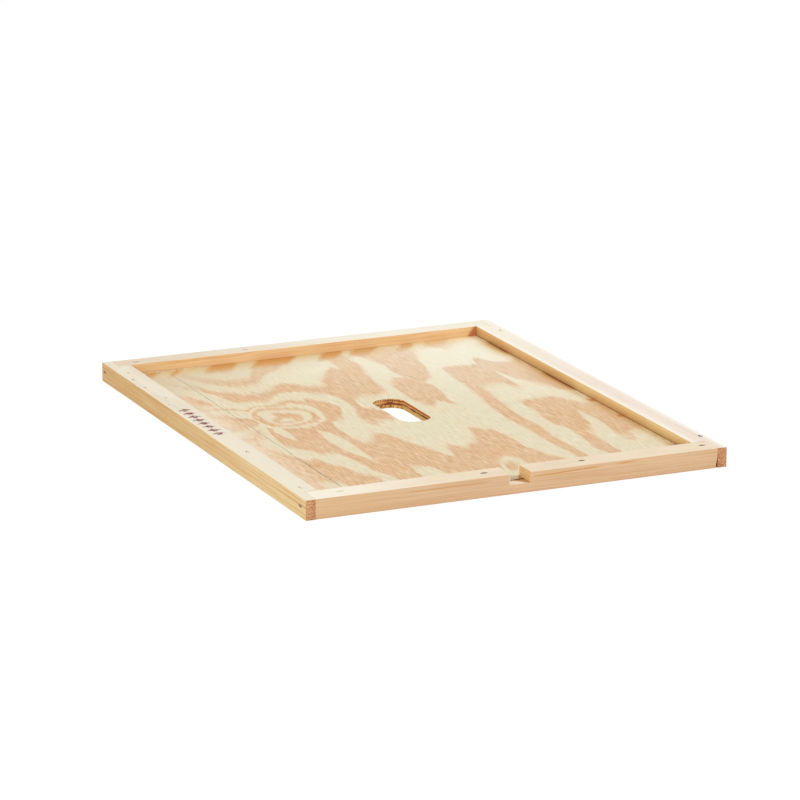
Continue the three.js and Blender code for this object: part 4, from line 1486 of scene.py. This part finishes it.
# Details that only one rail has
frontMarkSettings = {
    "resinTone": tone(208, 136, 34),
    "resinReaches": [(-116, -26, 0.6), (6, 84, 0.9), (90, 119, 0.95)],       # along X, and how strong
    "resinHeight": 13.9,
    "resinHalf": 0.85,
    "ledgeSpan": (-11.4, 9.6, 0.1),            # along X, as the next three
    "wallMiddle": -0.7,
    "wallHalf": 12.6,
    "lipSpan": (-11.3, -10.0, 0.3),
    "footTone": tone(226, 160, 94),
    "ledgeTone": tone(240, 219, 198),
    "ledgeDeepTone": tone(186, 136, 66),
    "notchWallTones": (tone(242, 206, 150), tone(222, 176, 110)),
    "notchBackTone": tone(255, 246, 226),
    "notchEdgeTone": tone(253, 240, 222),
}
inkSettings = {                                # a row of plain arrows, stamped in fading ink
    "tone": tone(122, 24, 54),
    "start": -30.5,
    "pitch": 12.2,
    "count": 8,
    "across": -196.2,
    "length": 10.4,
    "headLength": 6.2,
    "headHalf": 7.4,
    "shaftHalf": 2.3,
}


def onTop(pine):                               # 1 on the rail's top, 0 below it
    return pine.z.rise(railTop - 0.4, railTop - 0.2)


def markFront(shader, colour, pine, settings):           # resin streaks, and the notch's ledge and walls, with the right wall's shadow painted on the ledge and painted highlights on the walls' edges and the left lip
    x, y, z = pine.x, pine.y, pine.z
    rise = (x - 9).over(0) * 0.023
    line = z - settings["resinHeight"] - rise + (shader.noise(x / 26, 4.0, 4.0, 2) - 0.5) * 1.3
    for start, end, strength in settings["resinReaches"]:
        resin = line.bump(0, settings["resinHalf"]) * x.within(start, end, 14) * pine.outer
        colour = shader.mix(resin * strength, colour, settings["resinTone"])
    ledgeTop = z.fall(panelTop + 0.1, panelTop + 0.4) * pine.nz.rise(0.5, 0.8)
    ledge = x.within(*settings["ledgeSpan"]) * ledgeTop
    # the right wall's painted shadow on the ledge
    shadowOnLedge = (x + (y - frontFace) * 0.9).rise(4, 11)
    grain = shader.noise(x / 0.6, y / 1.2, z / 2.5, 2).rise(0.35, 0.65)
    middle, half = settings["wallMiddle"], settings["wallHalf"]
    nearWalls = abs(x - middle).fall(half, half + 0.4) * z.rise(panelTop, panelTop + 0.1)
    wall = abs(pine.nx).rise(0.15, 0.40) * nearWalls
    leftLip = x.within(*settings["lipSpan"]) * z.rise(panelTop + 0.1, panelTop + 1.1)
    return shader.paint(
        colour,
        (pine.outer * z.fall(0.6, 1.3) * 0.5, settings["footTone"]),
        (ledge, shader.mix(shadowOnLedge, settings["ledgeTone"], settings["ledgeDeepTone"])),
        (wall, shader.mix(grain, *settings["notchWallTones"])),
        # painted highlights along the walls' front and back edges
        (wall * y.fall(frontFace, frontFace + 3.4) * 0.12, settings["notchBackTone"]),
        (wall * y.rise(trayFront - 2.6, trayFront - 1.6) * 0.9, settings["notchBackTone"]),
        # a painted highlight on the notch's left lip
        (pine.outer * leftLip * 0.5, settings["notchEdgeTone"]))


def stampArrows(shader, colour, pine, settings):
    run = (pine.y - settings["start"]) / settings["pitch"]
    step = run.fraction() * settings["pitch"]
    offset = abs(pine.x - settings["across"])
    length, half = settings["length"], settings["shaftHalf"]
    neck = length - settings["headLength"]
    headWidth = (length - step) * (settings["headHalf"] / settings["headLength"])
    head = step.rise(neck - 0.2, neck + 0.2) * (headWidth - offset).rise(-0.2, 0.4)
    shaft = step.within(0.8, neck + 0.4, 0.4) * offset.fall(half - 0.3, half + 0.3)
    row = run.rise(0, 0.01) * run.fall(settings["count"] - 0.01, settings["count"])
    worn = 0.35 + shader.noise(pine.x / 3.2, pine.y / 5, 3.0, 2, 0.6).rise(0.36, 0.56) * 0.65
    return shader.mix(head.over(shaft) * row * onTop(pine) * worn, colour, settings["tone"])


def markJoint(shader, colour, pine, settings):           # glue lines on top of the corner joints, and painted shade on the faces inside their gaps
    x, y = abs(pine.x), abs(pine.y)
    joint = endRight + jointSettings["gap"]
    atEnd = y.rise(-trayFront - 0.6, -trayFront)
    inJoint = abs(x - joint).fall(0.08, 0.16) * abs(pine.nx).rise(0.5, 0.8)
    line = (x - joint).bump(-0.055, 0.55) * pine.nz.rise(0.5, 0.8) * (0.3 + y.fall(231, 241) * 0.5)
    return shader.paint(
        colour, (inJoint * atEnd, settings["jointTone"]), (line * atEnd, settings["jointLineTone"]))


def markLeft(shader, colour, pine, settings):            # arrows and brown specks
    colour = stampArrows(shader, colour, pine, inkSettings)
    for placeX, placeY, radius in settings["specks"]:
        u, v = (pine.x - placeX) / radius, (pine.y - placeY) / (radius * 1.6)
        spot = (u * u + v * v).fall(0.2, 1.1) * onTop(pine)
        colour = shader.mix(spot * 0.7, colour, settings["speckTone"])
    return markJoint(shader, colour, pine, settings)


def markRight(shader, colour, pine, settings):           # painted highlights along the top's edges, and a dark foot, partly dirt and partly painted shade
    colour = markJoint(shader, colour, pine, settings)
    edges = pine.x.fall(*settings["innerEdge"]) * 0.6 + pine.x.rise(*settings["outerEdge"]) * 0.6
    foot = pine.z.fall(panelTop + 0.1, panelTop + 0.8) * pine.inner
    dirtAndShade = foot * (0.4 + pine.y.within(*settings["dirtySpan"]) * 0.4)
    return shader.paint(
        colour,
        (edges * pine.z.rise(railTop - 0.6, railTop - 0.2), settings["edgeTone"]),
        (dirtAndShade, settings["footTone"]))


def markBack(shader, colour, pine, settings):            # the right corner lies in shade
    dim = (pine.x - settings["cornerX"] - (pine.z - panelTop - 0.1) * 0.7).rise(0, 5) * pine.inner
    tan = pine.x.fall(*settings["tanReach"]) * pine.z.rise(railTop - 0.4, railTop - 0.1)
    return shader.paint(
        colour,
        (dim * 0.85, settings["cornerTone"]),
        (tan * 0.5, settings["tanTone"]))


leftMarkSettings = {
    "jointTone": tone(170, 100, 56),
    "jointLineTone": tone(176, 118, 68),
    "specks": [(-197.0, 206.0, 1.6), (-201.1, 150.1, 1.8), (-196.1, 108.1, 1.6), (-203.0, 84.0, 1.1)],
    "speckTone": tone(184, 162, 112),
}
backMarkSettings = {
    "cornerX": 172,
    "cornerTone": tone(190, 108, 58),
    "tanReach": (-176, -60),
    "tanTone": tone(222, 200, 170),
}
rightMarkSettings = {
    "jointTone": tone(150, 66, 40),
    "jointLineTone": tone(196, 160, 124),
    "innerEdge": (186, 191),
    "outerEdge": (201, 205),
    "edgeTone": tone(253, 248, 238),
    "dirtySpan": (0, 90, 16),
    "footTone": tone(146, 72, 36),
}
railMarks = {
    "left_side_rail": (markLeft, leftMarkSettings),
    "right_side_rail": (markRight, rightMarkSettings),
    "front_end_rail": (markFront, frontMarkSettings),
    "back_end_rail": (markBack, backMarkSettings),
}


def pineMaterial(railName, settings):
    shader = newShader(settings["name"] + "Pine")
    pine = pineWood(shader, railName, settings)
    colour = pineFaces(shader, pine, settings)
    colour = shader.mix(pine.ends, colour, pineEnds(shader, pine, settings))
    mark, markSettings = railMarks[railName]
    colour = mark(shader, colour, pine, markSettings)
    colour = bruiseAndShade(shader, colour, pine, staplesOf(railName), dimpleSettings)
    return shader.finish(woodSurface(shader, colour, 0.6, pine.height, 0.06))


for railName, settings in railSettings.items():
    material = pineMaterial(railName, settings)
    dress(buildRail(railName, settings), material, settings["slot"], railName)
    print("rail made:", settings["name"])


# The staples: galvanised wire, pressed into the wood
stapleSettings = {
    "tone": tone(226, 228, 230),
    "dullTone": tone(88, 88, 88),
    "dustTone": tone(238, 228, 208),
    "dusty": ("staple_left", "staple_right_2", "staple_front_1", "staple_back"),
    "dark": "corner",
}


def stapleMaterial(name, settings, dust, shine):
    shader = newShader(name)
    x, y, z = shader.place()
    worn = shader.noise(x / 0.9, y / 0.9, z / 0.9, 3).rise(0.4, 0.6)
    steel = shader.mix(1 - (1 - worn) * shine, settings["tone"], settings["dullTone"])
    return shader.finish(shader.node("ShaderNodeBsdfPrincipled", {}, {
        "Base Color": shader.mix(dust * (0.5 + worn * 0.5), steel, settings["dustTone"]),
        "Roughness": 0.30 + worn * 0.2, "Metallic": 0.9 - dust * 0.8}))


cleanSteel = stapleMaterial("stapleSteel", stapleSettings, 0.0, 0.45)
dustySteel = stapleMaterial("dustyStapleSteel", stapleSettings, 0.9, 1.0)
darkSteel = stapleMaterial("darkStapleSteel", stapleSettings, 0.0, 0.35)
for name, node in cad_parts.items():
    if "staple" in name:
        steel = dustySteel if name.startswith(stapleSettings["dusty"]) else cleanSteel
        node.data.materials.clear()
        node.data.materials.append(darkSteel if name.startswith(stapleSettings["dark"]) else steel)
print("staples dressed")
